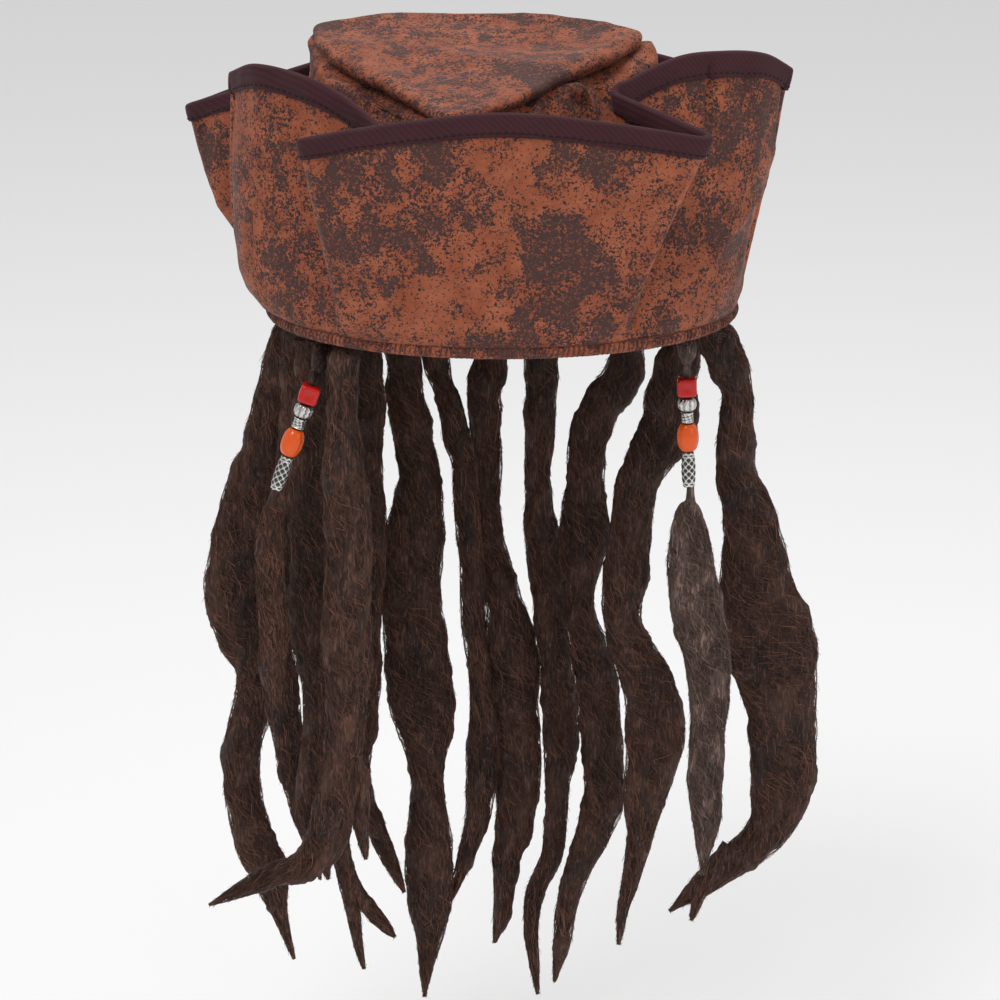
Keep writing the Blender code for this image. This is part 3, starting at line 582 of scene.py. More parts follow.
def rods(starts, glint_streaks, radius, rings=7, sides=8, sag=None):
    """Round-ended thread pieces as one mesh: verts and face sets."""
    count = len(starts)
    f = np.linspace(0, 1, rings)
    girth = np.sin(np.clip(f, 0.04, 0.96) * math.pi) ** 0.35
    way = unit(glint_streaks - starts)
    side = unit(np.cross(way, np.array([0.31, 0.52, 0.80])))
    other = np.cross(way, side)
    a = 2 * math.pi * np.arange(sides) / sides
    spine = starts[:, None] + (glint_streaks - starts)[:, None] * f[None, :, None]
    if sag is not None:
        spine = spine + sag[:, None] * np.sin(math.pi * f)[None, :, None]
    ring = side[:, None] * np.cos(a)[None, :, None] + other[:, None] * np.sin(a)[None, :, None]
    grid = spine[:, :, None] + ring[:, None] * (radius * girth)[None, :, None, None]
    verts = grid.reshape(-1, 3)
    quads = grid_faces(rings, sides)
    k = np.arange(1, sides - 1)
    caps = np.concatenate([np.stack([0 * k, k + 1, k], 1),
                           np.stack([0 * k, k, k + 1], 1) + (rings - 1) * sides])
    start = (np.arange(count) * rings * sides)[:, None, None]
    return verts, [(quads[None] + start).reshape(-1, 4), (caps[None] + start).reshape(-1, 3)]


def stitches(path, pitch, length, radius, name, mat):
    mids, way = along_path(path, pitch)
    verts, faces = rods(mids - way * length / 2, mids + way * length / 2, radius)
    obj = new_mesh(name, verts, faces, MATS[mat])
    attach(obj, "hat")
    return obj


# ---- base seam ----------------------------------------------------------------------------
ROLL_OUT, ROLL_TALL, ROLL_Z = 0.0021, 0.0030, -0.0017   # the rolled edge's half sizes and height
OVERLOCK_PITCH = 0.0024
BASE_COLS, ROLL_SIDES = 480, 14


def build_base_edge():
    """The overlocked edge: a rolled strip of the cloth, wrapped in slanting thread."""
    a = 2 * math.pi * np.arange(BASE_COLS) / BASE_COLS
    turns = 2 * math.pi * np.arange(ROLL_SIDES) / ROLL_SIDES
    rings = []
    wob = 0.0002 * np.sin(a * 67) + 0.0002 * np.sin(a * 41 + 1)
    for t in turns:
        out = ROLL_OUT * math.cos(t)
        rise = ROLL_Z + ROLL_TALL * math.sin(t)
        ring = np.stack([(HEAD_X + out + wob) * np.cos(a),
                         (HEAD_Y + out + wob) * np.sin(a), rise + 0 * a], -1)
        rings.append(ring)
    grid = np.stack(rings)
    obj = new_mesh("base_rolled_edge", grid.reshape(-1, 3),
                   [grid_faces(ROLL_SIDES, BASE_COLS, wrap_rows=True)[:, ::-1]], MATS["suede"])
    set_values(obj, "patch", patch_value(grid).ravel() + 0.05)
    set_values(obj, "crease", np.zeros(grid.size // 3))
    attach(obj, "hat")
    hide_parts("base_seam")
    path = np.stack([HEAD_X * np.cos(a), HEAD_Y * np.sin(a), ROLL_Z + 0 * a], -1)
    mids, way = along_path(path, OVERLOCK_PITCH)
    out = unit(mids * np.array([1 / HEAD_X ** 2, 1 / HEAD_Y ** 2, 0]))
    skew = way * 0.0005
    parts = []
    for sign in (1, -1):
        low = mids + out * (sign * 0.0006) - skew + np.array([0, 0, -ROLL_TALL])
        high = mids + out * (sign * 0.0006) + skew + np.array([0, 0, ROLL_TALL])
        parts.append(rods(low, high, 0.00050, rings=9, sag=out * (sign * (ROLL_OUT - 0.0006))))
    chain = path * np.array([1.0135, 1.0169, 1]) + np.array([0, 0, 0.0027])
    mids, way = along_path(chain, OVERLOCK_PITCH)
    parts.append(rods(mids - way * 0.0013, mids + way * 0.0013, 0.0004))
    verts, faces = merged(parts)
    threads = new_mesh("base_overlock_thread", verts, faces, MATS["edge_thread"])
    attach(threads, "hat")


# ---- crown --------------------------------------------------------------------------------
TIP = [(0, 0.0475, 0.008), (22, 0.0580, 0.026), (38, 0.0650, 0.046), (62, 0.0450, 0.066),
       (84, 0.012, 0.0755), (108, -0.043, 0.0760), (135, -0.083, 0.0645), (152, -0.088, 0.048),
       (172, -0.0815, 0.018), (190, -0.072, -0.001), (215, -0.0545, -0.026), (245, -0.038, -0.052),
       (260, -0.0265, -0.0685), (274, -0.013, -0.0665), (300, 0.0050, -0.0480),
       (330, 0.0280, -0.0165)]
TIP_FLARE = [0.0060, 0.0100, 0.0100, 0.0060, 0.005, 0.005, 0.005, 0.005,
             0.006, 0.006, 0.005, 0.004, 0.004, 0.004, 0.004, 0.004]
CROWN_COLS = 480


def outline(extra):
    """The tip's outline, pushed outwards by extra times each control point's flare."""
    angles = np.array([a for a, _, _ in TIP] + [360.0])
    points = np.array([(x, y) for _, x, y in TIP])
    points = points + out_of(points) * (np.array(TIP_FLARE) * extra)[:, None]
    t = 360 * np.arange(CROWN_COLS) / CROWN_COLS
    i = np.searchsorted(angles, t, "right") - 1
    f = ((t - angles[i]) / (angles[i + 1] - angles[i]))[:, None]
    m = len(points)
    p0, p1, p2, p3 = (points[(i + d) % m] for d in (-1, 0, 1, 2))
    return 0.5 * (2 * p1 + (p2 - p0) * f + (2 * p0 - 5 * p1 + 4 * p2 - p3) * f ** 2
                  + (3 * p1 - p0 - 3 * p2 + p3) * f ** 3)


def out_of(ring):
    along = np.roll(ring, -1, 0) - np.roll(ring, 1, 0)
    return unit(np.stack([along[:, 1], -along[:, 0]], 1))


def raised(ring, drop):
    return np.column_stack([ring, TIP_Z + TIP_SLOPE * ring[:, 1] - drop])


def crown_front(out):
    """1 where the tip's edge faces forward and rolls over its seam, 0 elsewhere."""
    return smoothstep(-out[:, 1], 0.1, 0.6)


def near_angle(middle, width):
    t = 360 * np.arange(CROWN_COLS) / CROWN_COLS
    return np.exp(-(((t - middle + 180) % 360 - 180) / width) ** 2)


def build_crown():
    edge, flare = outline(0.0), outline(1.0)
    out = out_of(edge)
    front = crown_front(out)[:, None]
    t = 2 * math.pi * np.arange(CROWN_COLS) / CROWN_COLS
    inset = 0.0031
    low = np.stack([(HEAD_X - inset) * np.cos(t), (HEAD_Y - inset) * np.sin(t), 0 * t + 0.001], -1)
    shoulder = raised(flare, 0.0105)
    tuck = raised(edge - out * (0.0006 + 0.0052 * front), 0.0052 + 0.0024 * front[:, 0])
    v = np.concatenate([np.linspace(0, 1, 56), np.full(12, 1.0)])[:, None]
    rows = [low + (shoulder - low) * f for f in v[:56, 0]]
    for f in np.linspace(0, 1, 13)[1:]:         # over the shoulder and under the tip's roll
        lean = np.array([f ** 1.6, f ** 1.6, math.sin(f * math.pi / 2)])
        rows.append(shoulder + (tuck - shoulder) * lean)
    grid = np.stack(rows)
    normal, _ = normals_of(grid)
    amount = 1 + 1.1 * near_angle(205, 30) + 1.2 * near_angle(345, 22)
    amount = amount * smoothstep(v, 0.05, 0.5)
    amount[-5:] *= np.array([[0.9], [0.8], [0.6], [0.4], [0.2]])
    tall = grid * np.array([1, 1, 0.4])
    slant = grid @ np.array([[1, 0, 0.5], [0, 1, -0.3], [-0.5, 0.3, 0.6]])
    lift = 0.0010 * waves(tall, 0.030, 41) + 0.0018 * (ridged(slant, 0.024, 42) - 0.6)
    lift += 0.0006 * (ridged(slant, 0.011, 43) - 0.6) * smoothstep(v, 0.6, 1.0)
    lift += 0.0002 * waves(tall, 0.006, 44) * smoothstep(v, 0.85, 1.0)
    grid = keep_inside_brim(grid + normal * (lift * amount)[..., None])
    normal, _ = normals_of(grid)
    crown_piece("crown_side_cloth", np.concatenate([grid, (grid - normal * 0.0009)[::-1]]),
                "crown_side")
    build_tip(edge, out, front[:, 0])
    build_lining(grid, normal, edge, out, front[:, 0])


def crown_piece(name, shell, node, mat="suede_crown", inward=False):
    """A closed shell of rings round the crown; its last ring joins its first."""
    faces = grid_faces(len(shell), CROWN_COLS, wrap_rows=True)
    obj = new_mesh(name, shell.reshape(-1, 3), [faces[:, ::-1] if inward else faces], MATS[mat])
    if mat == "suede_crown":
        set_values(obj, "patch", patch_value(shell).ravel())
        set_values(obj, "crease", np.zeros(shell.size // 3))
    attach(obj, "hat")
    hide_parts(node)


def keep_inside_brim(grid):
    """Holds the crown's lower wall just inside the brim's base."""
    limit = 1 - 0.0026 / HEAD_X
    far = np.sqrt((grid[..., 0] / HEAD_X) ** 2 + (grid[..., 1] / HEAD_Y) ** 2)
    near_base = 1 - smoothstep(grid[..., 2], 0.004, 0.03)
    scale = np.where(far > limit, limit / far, 1.0)
    grid[..., :2] *= (1 + (scale - 1) * near_base)[..., None]
    return grid


def build_lining(grid, normal, edge, out, front):
    """The lining follows the wrinkled cloth, then crosses below the tip."""
    walls = []
    middle = raised(edge.mean(0)[None], 0)[0]
    inside = edge - out * (0.0030 + 0.0045 * front)[:, None]
    for off, drop in ((0.0034, 0.0088), (0.0042, 0.0096)):
        wall = (grid - normal * off)[:54:3]
        rim = raised(inside, drop)
        walls.append(np.concatenate([wall, rim + (middle - [0, 0, drop] - rim)
                                     * np.linspace(0.08, 0.999, 14)[:, None, None]]))
    crown_piece("crown_lining_cloth", np.concatenate([walls[0], walls[1][::-1]]),
                "crown_lining", "lining")


def build_tip(edge, out, front):
    """The tip: a soft panel whose edge rolls over the seam below it."""
    middle = edge.mean(0)
    radius = 0.0021 + 0.0008 * front
    core = edge - out * (radius - 0.0018)[:, None]
    v = np.concatenate([np.linspace(0.001, 1, 60), np.full(9, 1.0)])[:, None]
    rings = [raised(middle + (core - middle) * f, 0.0) for f in v[:60, 0]]
    for a in np.radians([18, 36, 54, 72, 90, 110, 130, 150, 170]):
        rings.append(raised(core + out * (radius * math.sin(a))[:, None],
                            radius * (1 - math.cos(a))))
    grid = np.stack(rings)
    lift = 0.0014 * waves(grid, 0.045, 51) + 0.0020 * (ridged(grid, 0.050, 52) - 0.6)
    lift += 0.0009 * (ridged(grid, 0.020, 53) - 0.6) * smoothstep(v, 0.35, 0.9)
    lift -= 0.0018 * np.sin(math.pi * np.clip(v, 0, 1)) ** 2
    grid[..., 2] += lift * (1 - 0.55 * smoothstep(v, 0.9, 1.0))
    pucker = 0.0003 * waves(grid, 0.0065, 54) * smoothstep(v, 0.9, 1.0)
    grid[..., :2] += out * pucker[..., None]
    back = grid[::6].copy()
    back[..., 2] -= 0.0010
    back[1:, :, :2] -= out * 0.0006
    crown_piece("crown_tip_cloth", np.concatenate([grid, grid[-1:] - [0, 0, 0.0006], back[::-1]]),
                "crown_tip", inward=True)
    puckers = 1 + 0.25 * waves(raised(edge, 0), 0.004, 55)
    ring = raised(edge - out * (0.0012 + 0.0022 * front)[:, None], 0.0052 + 0.0012 * front)
    tube = [ring + np.column_stack([out * (0.0011 * puckers * math.cos(a))[:, None],
                                    0.0011 * puckers * math.sin(a)])
            for a in 2 * math.pi * np.arange(12) / 12]
    crown_piece("crown_seam_allowance", np.stack(tube), "crown_seam_ridge",
                inward=True)


# ---- inner bands --------------------------------------------------------------------------
def dress_inner_bands():
    """The two tapes inside keep their solids with woven materials; the weft gets stitches."""
    for node, mat in (("sweatband", "band"), ("hair_weft_band", "weft")):
        obj = frame["nodes"][node]
        obj.data.materials.clear()
        obj.data.materials.append(MATS[mat])
    low, high = (Vector(c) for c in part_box("hair_weft_band"))
    rx, ry = (high.x - low.x) / 2 - 0.0016, (high.y - low.y) / 2 - 0.0016
    a = 2 * math.pi * np.arange(240) / 240
    for name, z in (("weft_stitches_low", -0.0020), ("weft_stitches_high", 0.0010)):
        ring = np.stack([rx * np.cos(a), ry * np.sin(a), z + 0 * a], -1)
        stitches(ring, 0.0040, 0.0027, 0.00035, name, "stitch")


# ---- hair ---------------------------------------------------------------------------------
# Stations of part.py, in mm: x, z, half width, half depth, and own y where it differs.
LOCKS = [
    ("lock_left_1", 4, [(-102, -19, 8, 6), (-105.5, -36, 9, 6), (-112, -70, 10, 6),
                        (-121, -98, 12, 6.5),
                        (-130, -138, 11.8, 6.5), (-126, -167, 11, 6.5), (-120, -189, 8.5, 6),
                        (-127, -228, 7.6, 6), (-123, -271, 9, 5.5), (-116, -288, 8, 5),
                        (-109, -313, 3, 3), (-104.5, -330, 1.2, 1.2)]),
    ("lock_left_2", -12, [(-96, -20, 6.5, 5.5), (-100, -66, 6.2, 5.5), (-104, -128, 6.6, 6),
                          (-108, -175, 7.4, 6), (-103, -223, 6.2, 5.5), (-93, -257, 6.2, 5),
                          (-88, -274, 3.6, 3.4), (-86, -284, 1.2, 1.2)]),
    ("lock_left_3", -29, [(-90, -14, 6, 5.5), (-90.5, -60, 8, 5.5), (-90.5, -95, 9.4, 5.6),
                          (-91, -140, 9, 5.6), (-88.5, -181, 7, 5.4), (-89, -219, 7, 5.2),
                          (-90, -239, 7.2, 5), (-90, -262, 4.4, 4), (-89, -276, 1.2, 1.2)]),
    ("lock_left_4", -53, [(-74, -20, 6, 5.6), (-74, -54, 7, 6), (-73, -85, 9.2, 6.2),
                          (-72.5, -116, 10, 6.4), (-73, -150, 9.8, 6.4), (-74, -180, 8.8, 6.2),
                          (-76, -212, 8.2, 6), (-80, -236, 8.4, 6.2), (-87, -256, 8, 6),
                          (-97, -266, 6.4, 5.6), (-107, -268.5, 5.4, 5), (-119, -274, 4.2, 4),
                          (-135, -282, 1.2, 1.2)]),
    ("lock_left_5", 59, [(-66.5, -36, 6.4, 5.5), (-66, -86, 7, 5.6), (-66.2, -127, 7.2, 5.8),
                         (-67.6, -182, 7, 5.6), (-69.5, -230, 5.6, 5.2), (-71, -262, 4.8, 4.6),
                         (-64, -288, 4.2, 4), (-56, -306, 3, 3), (-51, -318, 1.2, 1.2)]),
    ("lock_left_6", 40, [(-80, -31, 5.2, 5), (-81, -70, 6, 5.2), (-82, -109, 6, 5.2),
                         (-83, -213, 5.6, 5), (-82.5, -266, 4.6, 4.4), (-79, -302, 4, 4),
                         (-75, -329, 2.7, 2.7), (-71, -349, 1.2, 1.2)]),
    ("lock_back_1", 68, [(-49, -40, 7.2, 5.8), (-47, -63, 7.6, 6), (-43.5, -86, 8.4, 6),
                         (-41.5, -110, 10.4, 6.2), (-43.5, -139, 12.6, 6.5),
                         (-45.5, -167, 13.4, 6.5), (-43, -200, 15, 6.5), (-38.5, -233, 12.5, 6.5),
                         (-38.5, -266, 7.6, 6), (-36.5, -298, 9.8, 6), (-37, -331, 9.6, 5.5),
                         (-38, -357, 5, 4), (-39, -376, 1.3, 1.3)]),
    ("lock_back_2", 74, [(-33, -43, 6.2, 4.8, 72.5), (-29, -60, 5.2, 4.6, 69),
                         (-23, -84, 5.2, 4.4, 67), (-18, -102, 5, 4.4, 67),
                         (-17, -131, 5.6, 4.4, 67), (-14, -178, 5, 4.8, 70),
                         (-11.5, -208, 5, 5), (-9.5, -250, 6.6, 5), (-11, -280, 6, 5),
                         (-17, -302, 4.5, 4.2), (-22, -318, 2.6, 2.6), (-25, -329, 1.2, 1.2)]),
    ("lock_back_3", 77.8, [(-5.5, -44, 6.4, 5), (-8, -68, 7.8, 5), (-8.5, -89, 7.2, 4.8),
                         (-8.5, -124, 6.2, 4.8), (-2, -158, 7.2, 5.4), (4.5, -200, 10.8, 6),
                         (6.8, -226, 11.2, 6), (8, -256, 10, 6), (6.8, -294, 7.8, 5.5),
                         (2, -314, 6, 5), (-0.5, -341, 3.8, 3.6), (-3, -353, 1.3, 1.3)]),
    ("lock_back_4", 76.5, [(20, -45, 7.2, 5.8), (18.5, -67, 6.6, 5.6), (18.5, -115, 6, 5.4),
                         (20.5, -147, 7.4, 5.8), (26, -191, 7.4, 6), (28.5, -226, 7.2, 6),
                         (29.5, -256, 7.4, 6), (28.5, -276, 5.2, 5), (25, -307, 4.3, 4.3),
                         (16.5, -332, 4, 4), (16, -362, 2.5, 2.5), (17.5, -379, 1, 1)]),
    ("lock_back_5", 62, [(62, -38, 6, 5.8), (56, -56, 8.6, 6), (45, -77, 9, 6),
                         (41, -107, 8.2, 6), (40, -137, 10.4, 6.2), (39.5, -171, 6.4, 6),
                         (45, -203, 8.6, 6), (51, -243, 9.4, 6.2), (51, -271, 9, 6),
                         (45, -293, 7, 5.5), (35, -324, 5.2, 5), (30, -349, 3.6, 3.4),
                         (27.5, -366, 1.3, 1.3)]),
    ("lock_right_1", 34, [(89, -26, 7.4, 6), (83, -46, 11, 6.2), (79, -74, 11.2, 6.4),
                          (67.5, -97, 8.6, 6.2), (60.5, -140, 10, 6.4), (60, -170, 7.4, 6),
                          (70, -198, 11.6, 6.5), (76, -227, 12.4, 6.5), (72.5, -258, 9, 6),
                          (67.5, -287, 5.6, 5), (62, -316, 2.6, 2.6), (59.5, -334, 1.2, 1.2)]),
    ("lock_right_2", 4, [(103, -20, 8, 6), (108.5, -34, 8.4, 6.2), (112, -50, 7, 6),
                         (113, -84, 7.8, 6.4), (119, -110, 12.4, 7), (123.5, -144, 16, 7.5),
                         (131, -177, 19.5, 7.5), (138, -223, 13.8, 7), (136.5, -250, 12.5, 6.5),
                         (129, -269, 9.5, 6), (115, -283, 7.6, 5.5), (99, -297, 4.8, 4.4),
                         (87, -307, 1.4, 1.4)]),
]
STRANDS = [
    ("strand_right", (86, -40), (86, -40, -22), (88, -40, -83),
     [(87.5, -90, 4.2, 3.6), (88.5, -108, 9, 5.5), (92.5, -137, 11, 6), (97.5, -169, 8.6, 6),
      (99, -198, 8, 5.5), (97.5, -224, 7, 5), (97.5, -250, 5, 4.2), (97, -268, 1.3, 1.3)]),
    ("strand_left", (-83, -42), (-87, -52, -23), (-107, -54, -80),
     [(-107.5, -88, 4, 3.6), (-108.5, -104, 5.6, 5), (-109, -122, 5.8, 5), (-108, -146, 5.4, 5),
      (-107, -168, 3, 3), (-106.5, -180, 1.2, 1.2)]),
]
# Side tufts: the lock each grows from, then its stations (x, y, z, half width, half depth)
TUFTS = [
    ("lock_left_6", [(-77, 40, -303, 2.6, 2.6), (-71, 40, -317, 3.0, 2.6),
                     (-63, 40, -328, 3.2, 2.6), (-56, 40, -336, 1.6, 1.5)]),
    ("lock_left_4", [(-72, -53, -208, 4.0, 3.6), (-69, -51, -226, 4.4, 3.6),
                     (-67, -50, -244, 3.4, 3.0), (-66, -49, -258, 1.6, 1.5)]),
    ("lock_right_2", [(112, 4, -276, 3.6, 3.2), (104, 0, -287, 3.4, 3.0),
                      (97, -3, -300, 2.2, 2.2), (94, -4, -309, 1.2, 1.2)]),
]
JOINTS = {j["child"]: j for j in frame["joints"]}
RING_STEP, LOCK_SIDES = 0.0014, 26
FIBRES_PER_MM = 11.0
WIDEN, DEEPEN = 1.12, 0.97           # felt stands out beyond the solid sideways, not in depth


class Lock:
    """A felted rope of hair: a lumpy core along a route, and loose fibres over it."""

    def __init__(self, name, stations, seed):
        self.name, self.seed = name, seed
        stations = np.array(stations, float) * MM
        tip = stations[-1] + (stations[-1] - stations[-2]) * 0.35
        tip[3:] = 0.0003
        stations = np.vstack([stations, tip])
        steps = np.linalg.norm(np.diff(stations[:, :3], axis=0), axis=1)
        length = steps.sum()
        rings = int(length / RING_STEP)
        knots = np.concatenate([[0], np.cumsum(steps)]) / length
        even = np.linspace(0, 1, rings)
        uneven = np.interp(even, knots, np.linspace(0, 1, len(knots)))
        line = catmull(stations, uneven)
        self.length, self.rings = length, rings
        self.spine, self.wide, self.deep = line[:, :3], line[:, 3], line[:, 4]
        s = even * length
        fade = smoothstep(s, 0.01, 0.05) * (1 - smoothstep(even, 0.93, 1.0) * 0.6)
        rng = np.random.default_rng(seed)
        crimp = 0.35 + 0.65 * (1 - smoothstep(even, 0.10, 0.38))
        for axis, size in ((0, 0.0010), (1, 0.0007)):
            p = rng.uniform(0, 6.3, 2)
            bend = 0.7 * np.sin(s / 0.0125 + p[0]) + 0.5 * crimp * np.sin(s / 0.0044 + p[1])
            self.spine[:, axis] += size * bend * fade
        p = rng.uniform(0, 6.3, 3)
        lumps = 1 + 0.07 * np.sin(s / 0.013 + p[0]) + 0.10 * crimp * np.sin(s / 0.0043 + p[1]) \
            * np.sin(s / 0.0091 + p[2])
        self.wide *= WIDEN * lumps
        self.deep *= DEEPEN * (1 + 0.5 * (lumps - 1))
        down = unit(np.gradient(self.spine, axis=0))
        down = unit(np.stack([np.convolve(np.pad(down[:, i], 6, "edge"), np.ones(13) / 13,
                                          "valid") for i in range(3)], -1))
        across = np.array([1.0, 0, 0]) - down * down[:, :1]
        self.across = unit(across)
        self.front = unit(np.cross(self.across, down))

    def at(self, ring, angle, stand):
        """Points on the core at ring positions and angles, standing off it by stand."""
        i = np.clip(ring, 0, self.rings - 1.001)
        low = i.astype(int)
        f = (i - low)[..., None]

        def pick(values):
            return values[low] * (1 - f) + values[low + 1] * f

        wide = pick(self.wide[:, None])[..., 0] + stand
        deep = pick(self.deep[:, None])[..., 0] + stand
        return pick(self.spine) + pick(self.across) * (wide * np.cos(angle))[..., None] \
            + pick(self.front) * (deep * np.sin(angle))[..., None]

    def core(self, mat):
        ring, angle = np.meshgrid(np.arange(self.rings, dtype=float),
                                  2 * math.pi * np.arange(LOCK_SIDES) / LOCK_SIDES, indexing="ij")
        grid = self.at(ring, angle, 0.0 * ring)
        centre = self.spine[:, None]
        rad = grid - centre
        size = np.minimum(1, np.linalg.norm(rad, axis=-1) / 0.004)
        rope = waves(grid @ np.array([[1, 0, 0.3], [0, 1, 0], [-0.3, 0, 0.35]]), 0.0046,
                     self.seed + 7) * 0.0006
        felt = waves(grid * np.array([1, 1, 0.6]), 0.0016, self.seed + 8) * 0.00022
        grid = grid + unit(rad) * ((rope + felt) * size)[..., None]
        verts, faces = capped_tube(grid)
        return new_mesh(self.name + "_felt", verts, faces, mat)

    def fibres(self, mat, count, first=0.0, last=1.0):
        rng = np.random.default_rng(self.seed + 100)
        points = 5
        f = np.linspace(0, 1, points)
        loose = rng.random(count) < 0.5
        reach = np.where(loose, rng.uniform(0.0020, 0.0065, count),
                         rng.uniform(0.006, 0.022, count)) / (self.length / self.rings)
        start = rng.uniform(first, last, count) * (self.rings - 1)
        angle = rng.uniform(0, 2 * math.pi, count)
        drift = rng.normal(0.30, 0.32, count) * np.where(loose, 0.8, 1.4)
        top = np.where(loose, rng.uniform(0.0002, 0.0008, count), rng.uniform(0, 0.0004, count))
        ring = np.minimum(start[:, None] + reach[:, None] * f, last * (self.rings - 1) - 0.01)
        bow = np.where(loose[:, None], f, np.sin(math.pi * f))
        curl = 0.12 * np.sin(f * rng.uniform(3, 9, count)[:, None] + angle[:, None])
        path = self.at(ring, angle[:, None] + drift[:, None] * f + curl,
                       0.0001 + top[:, None] * bow)
        stray = np.where(loose, 0.0004, 0.0)[:, None, None]
        path += rng.normal(size=(count, 1, 3)) * stray * (f ** 2)[None, :, None]
        way = unit(np.gradient(path, axis=1))
        side = unit(np.cross(way, np.array([0.33, 0.9, 0.28])))
        other = np.cross(way, side)
        girth = (rng.uniform(0.00006, 0.00013, count)[:, None]
                 * (0.35 + 0.65 * np.sin(math.pi * (0.12 + 0.76 * f))))
        a = 2 * math.pi * np.arange(3) / 3
        tube = path[:, :, None] + (side[:, :, None] * np.cos(a)[:, None]
                                   + other[:, :, None] * np.sin(a)[:, None]) \
            * girth[:, :, None, None]
        quads = grid_faces(points, 3)
        glint_streaks = np.array([[0, 2, 1], [points * 3 - 3, points * 3 - 2, points * 3 - 1]])
        base = (np.arange(count) * points * 3)[:, None, None]
        obj = new_mesh(self.name + "_fibres", tube.reshape(-1, 3),
                       [(quads[None] + base).reshape(-1, 4), (glint_streaks[None] + base).reshape(-1, 3)],
                       mat)
        tone = np.repeat(rng.random(count) ** 1.5, points * 3)
        set_values(obj, "tone", tone)
        return obj


def root_of(name):
    return np.array(JOINTS[name]["pos_m"]) / MM


def build_locks():
    for index, (name, y, rows) in enumerate(LOCKS):
        root = root_of(name)
        stations = [(root[0], root[1], root[2] + 4.5, 3.0, 3.0), (*root, 6.0, 5.8)]
        stations += [(x, own[0] if own else y, z, hw, hd) for x, z, hw, hd, *own in rows]
        lock = Lock(name, stations, 200 + 10 * index)
        felt = lock.core(MATS["hair" if index % 2 else "hair_slant"])
        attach(felt, name)
        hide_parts(name)
        count = int(lock.length / MM * FIBRES_PER_MM * (0.6 + lock.wide.mean() / 0.011))
        fuzz = lock.fibres(MATS["fibre"], count)
        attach(fuzz, name)


def build_tufts():
    for index, (body, stations) in enumerate(TUFTS):
        tuft = Lock("tuft_%s" % body, stations, 600 + 10 * index)
        count = int(tuft.length / MM * FIBRES_PER_MM) // 1
        for obj in (tuft.core(MATS["hair"]), tuft.fibres(MATS["fibre"], count)):
            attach(obj, body)


def build_strands():
    for index, (name, root, start, end, rows) in enumerate(STRANDS):
        hinge = root_of(name)
        a, b = np.array(start, float), np.array(end, float)
        neck = (hinge + a) / 2
        stations = [(*(hinge + [0, 0, 3.4]), 2.0, 2.0), (*hinge, 4.2, 4.0), (*neck, 3.6, 3.4),
                    (*(a + [0, 0, 2]), 1.9, 1.9), (*a, 1.6, 1.6), (*((a + b) / 2), 1.6, 1.6),
                    (*b, 1.6, 1.6)]
        stations += [(x, end[1], z, hw, hd) for x, z, hw, hd in rows]
        lock = Lock(name, stations, 400 + 10 * index)
        felt = lock.core(MATS["tassel" if index == 0 else "hair"])
        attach(felt, name)
        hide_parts(name)
        tail = (np.linalg.norm(hinge - a) + np.linalg.norm(a - b) + 6) * MM / lock.length
        count = int(lock.length / MM * FIBRES_PER_MM * 2.0)
        fuzz = lock.fibres(MATS["tassel_fibre" if index == 0 else "fibre"], count, first=tail)
        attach(fuzz, name)


# ---- beads --------------------------------------------------------------------------------
# kind, height in mm, then the radius in mm by height f (0 top, 1 bottom) and angle
BEADS = [("red", 9.2), ("rosette", 6.6), ("tube", 5.2), ("orange", 13.4), ("long", 17.0)]
BEAD_GAP = 0.45
BORE = 1.9


def bead_radius(kind, f, a):
    """Radius and relief of each bead."""
    if kind == "red":                 # a cube with cut corners
        square = (np.abs(np.cos(a)) ** 6 + np.abs(np.sin(a)) ** 6) ** (-1 / 6)
        glint_streaks = 1 - 0.22 * np.maximum(0, (np.abs(2 * f - 1) - 0.6) / 0.4) ** 1.6
        dimple = 0.5 * np.exp(-((2 * f - 1) / 0.42) ** 2) * np.abs(np.cos(2 * a)) ** 3
        return 4.70 * square * glint_streaks - dimple, 0 * f + 1
    if kind == "orange":
        belly = np.sqrt(np.clip(1 - (np.abs(2 * f - 1) * 0.84) ** 2.3, 0, 1))
        return 5.1 * belly + 0.05 * np.cos(6 * a), 0 * f + 1
    if kind == "rosette":
        petals = np.abs(np.cos(4 * a + 0.3)) ** 0.6
        belly = np.sin(math.pi * np.clip(f, 0.05, 0.95)) ** 0.5
        dots = 0.5 + 0.5 * np.cos(16 * a) * np.cos(2 * math.pi * 3 * f)
        relief = 0.25 + 0.5 * petals * belly + 0.3 * dots * belly
        return 2.6 + 0.9 * belly + 0.85 * petals * belly + 0.22 * dots * belly, relief
    if kind == "tube":
        rims = np.exp(-((np.abs(2 * f - 1) - 0.86) / 0.12) ** 2)
        swirl = 0.5 + 0.5 * np.sin(5 * a + 9 * f) * np.cos(3 * a - 14 * f)
        return 2.55 + 0.45 * rims + 0.38 * swirl * (1 - rims), 0.25 + 0.8 * rims \
            + 0.75 * swirl * (1 - rims)
    bands = sum(np.exp(-((f - c) / 0.016) ** 2) for c in (0.05, 0.13, 0.87, 0.95))
    leaf = 1 - np.clip(2.4 * np.abs(np.sin(3 * a + 5 * math.pi * f)
                                    * np.sin(3 * a - 5 * math.pi * f)), 0, 1)
    body = np.sin(math.pi * f) ** 0.8
    bands = np.clip(bands, 0, 1)
    return 2.40 + 0.75 * body + 0.26 * bands + 0.30 * leaf * (1 - bands), \
        0.15 + 0.8 * bands + 0.85 * leaf * (1 - bands)


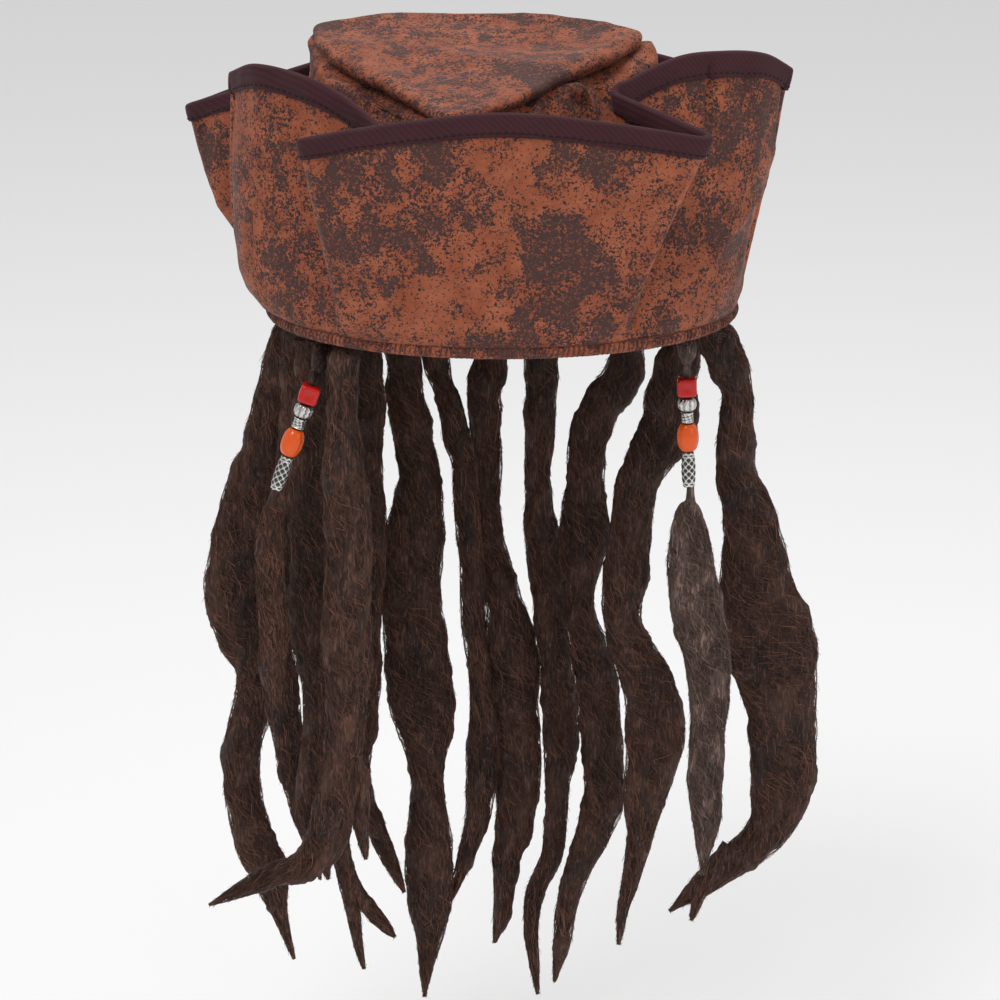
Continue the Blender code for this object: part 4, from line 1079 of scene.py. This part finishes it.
def build_beads():
    for name, _, start, end, _ in STRANDS:
        side = name.split("_")[1]
        a, b = np.array(start, float), np.array(end, float)
        axis = unit(a - b)
        front = unit(np.array([0, 1.0, 0]) - axis * axis[1])
        across = np.cross(front, axis)
        total = sum(h for _, h in BEADS) + BEAD_GAP * (len(BEADS) - 1)
        at = (np.linalg.norm(a - b) - total) / 2
        for kind, height in BEADS:
            top = a - axis * at
            node = "bead_%s_%s" % (kind, side)
            turn = 0.0 if kind == "red" else 0.4
            build_bead(node, kind, height, top, axis, across, front, turn)
            at += height + BEAD_GAP


def build_bead(node, kind, height, top, axis, across, front, turn):
    rows, cols = 56, 112
    f, a = np.meshgrid(np.linspace(0, 1, rows), 2 * math.pi * np.arange(cols) / cols + turn,
                       indexing="ij")
    radius, relief = bead_radius(kind, f, a)
    lip = np.minimum(1, np.minimum(f, 1 - f) * height / 0.7)
    radius = BORE + 0.5 + (radius - BORE - 0.5) * np.sqrt(np.clip(1 - (1 - lip) ** 2, 0, 1))

    def ring(f, radius):
        return top - axis * (f * height)[..., None] + across * (radius * np.cos(a))[..., None] \
            + front * (radius * np.sin(a))[..., None]

    outer = ring(f, radius)
    bore = ring(f, BORE + 0 * f)
    shell = np.concatenate([outer, bore[::-7]]) * MM
    faces = grid_faces(len(shell), cols, wrap_rows=True)
    mat = MATS.get(kind, MATS["silver"])
    obj = new_mesh(node + "_turned", shell.reshape(-1, 3), [faces], mat)
    set_values(obj, "relief", np.concatenate([relief, 0.1 + 0 * bore[::-7][..., 0]]).ravel())
    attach(obj, node)
    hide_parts(node)


# ---- stage --------------------------------------------------------------------------------
def build_camera():
    pitch, away = math.radians(16.5), 2.2
    aim = Vector((-0.001, 0.0, -0.0976))
    look = Vector((0, math.cos(pitch), -math.sin(pitch)))
    data = bpy.data.cameras.new("camera")
    data.sensor_width, data.lens = 36, 165
    data.clip_end = 30
    camera = bpy.data.objects.new("camera", data)
    camera.location = aim - look * away
    camera.rotation_euler = look.to_track_quat("-Z", "Y").to_euler()
    bpy.context.scene.collection.objects.link(camera)
    bpy.context.scene.camera = camera


def area_light(name, place, aim, size, power, colour=(1, 1, 1)):
    data = bpy.data.lights.new(name, "AREA")
    data.shape, data.size, data.energy, data.color = "SQUARE", size, power, colour
    light = bpy.data.objects.new(name, data)
    light.location = place
    light.rotation_euler = (Vector(aim) - Vector(place)).to_track_quat("-Z", "Y").to_euler()
    bpy.context.scene.collection.objects.link(light)


def build_stage():
    low, _ = CAD_BOX
    verts = np.array([(-6, -6, 0), (6, -6, 0), (6, 6, 0), (-6, 6, 0)], float)
    verts[:, 2] = low[2] - 0.05
    floor_mat = Nodes("pale_floor", 0.9, specular=0.1).done((0.96, 0.96, 0.96))
    floor = new_mesh("floor", verts, [np.array([[0, 1, 2, 3]])], floor_mat)
    area_light("key", (-0.7, -1.3, 1.9), (0, 0, 0.0), 0.9, 17)
    area_light("fill", (1.5, -1.3, 0.6), (0, 0, -0.05), 1.4, 5)
    area_light("top", (0.1, 0.5, 1.9), (0, 0, 0), 1.2, 14)
    world = bpy.data.worlds.new("studio")
    world.use_nodes = True
    back = world.node_tree.nodes["Background"]
    back.inputs["Color"].default_value = (1, 1, 1, 1)
    back.inputs["Strength"].default_value = 0.62
    bpy.context.scene.world = world
    bpy.context.scene.view_settings.view_transform = "Standard"


def main():
    build_camera()
    build_stage()
    build_brim()
    build_base_edge()
    build_crown()
    dress_inner_bands()
    build_locks()
    build_tufts()
    build_strands()
    build_beads()


main()
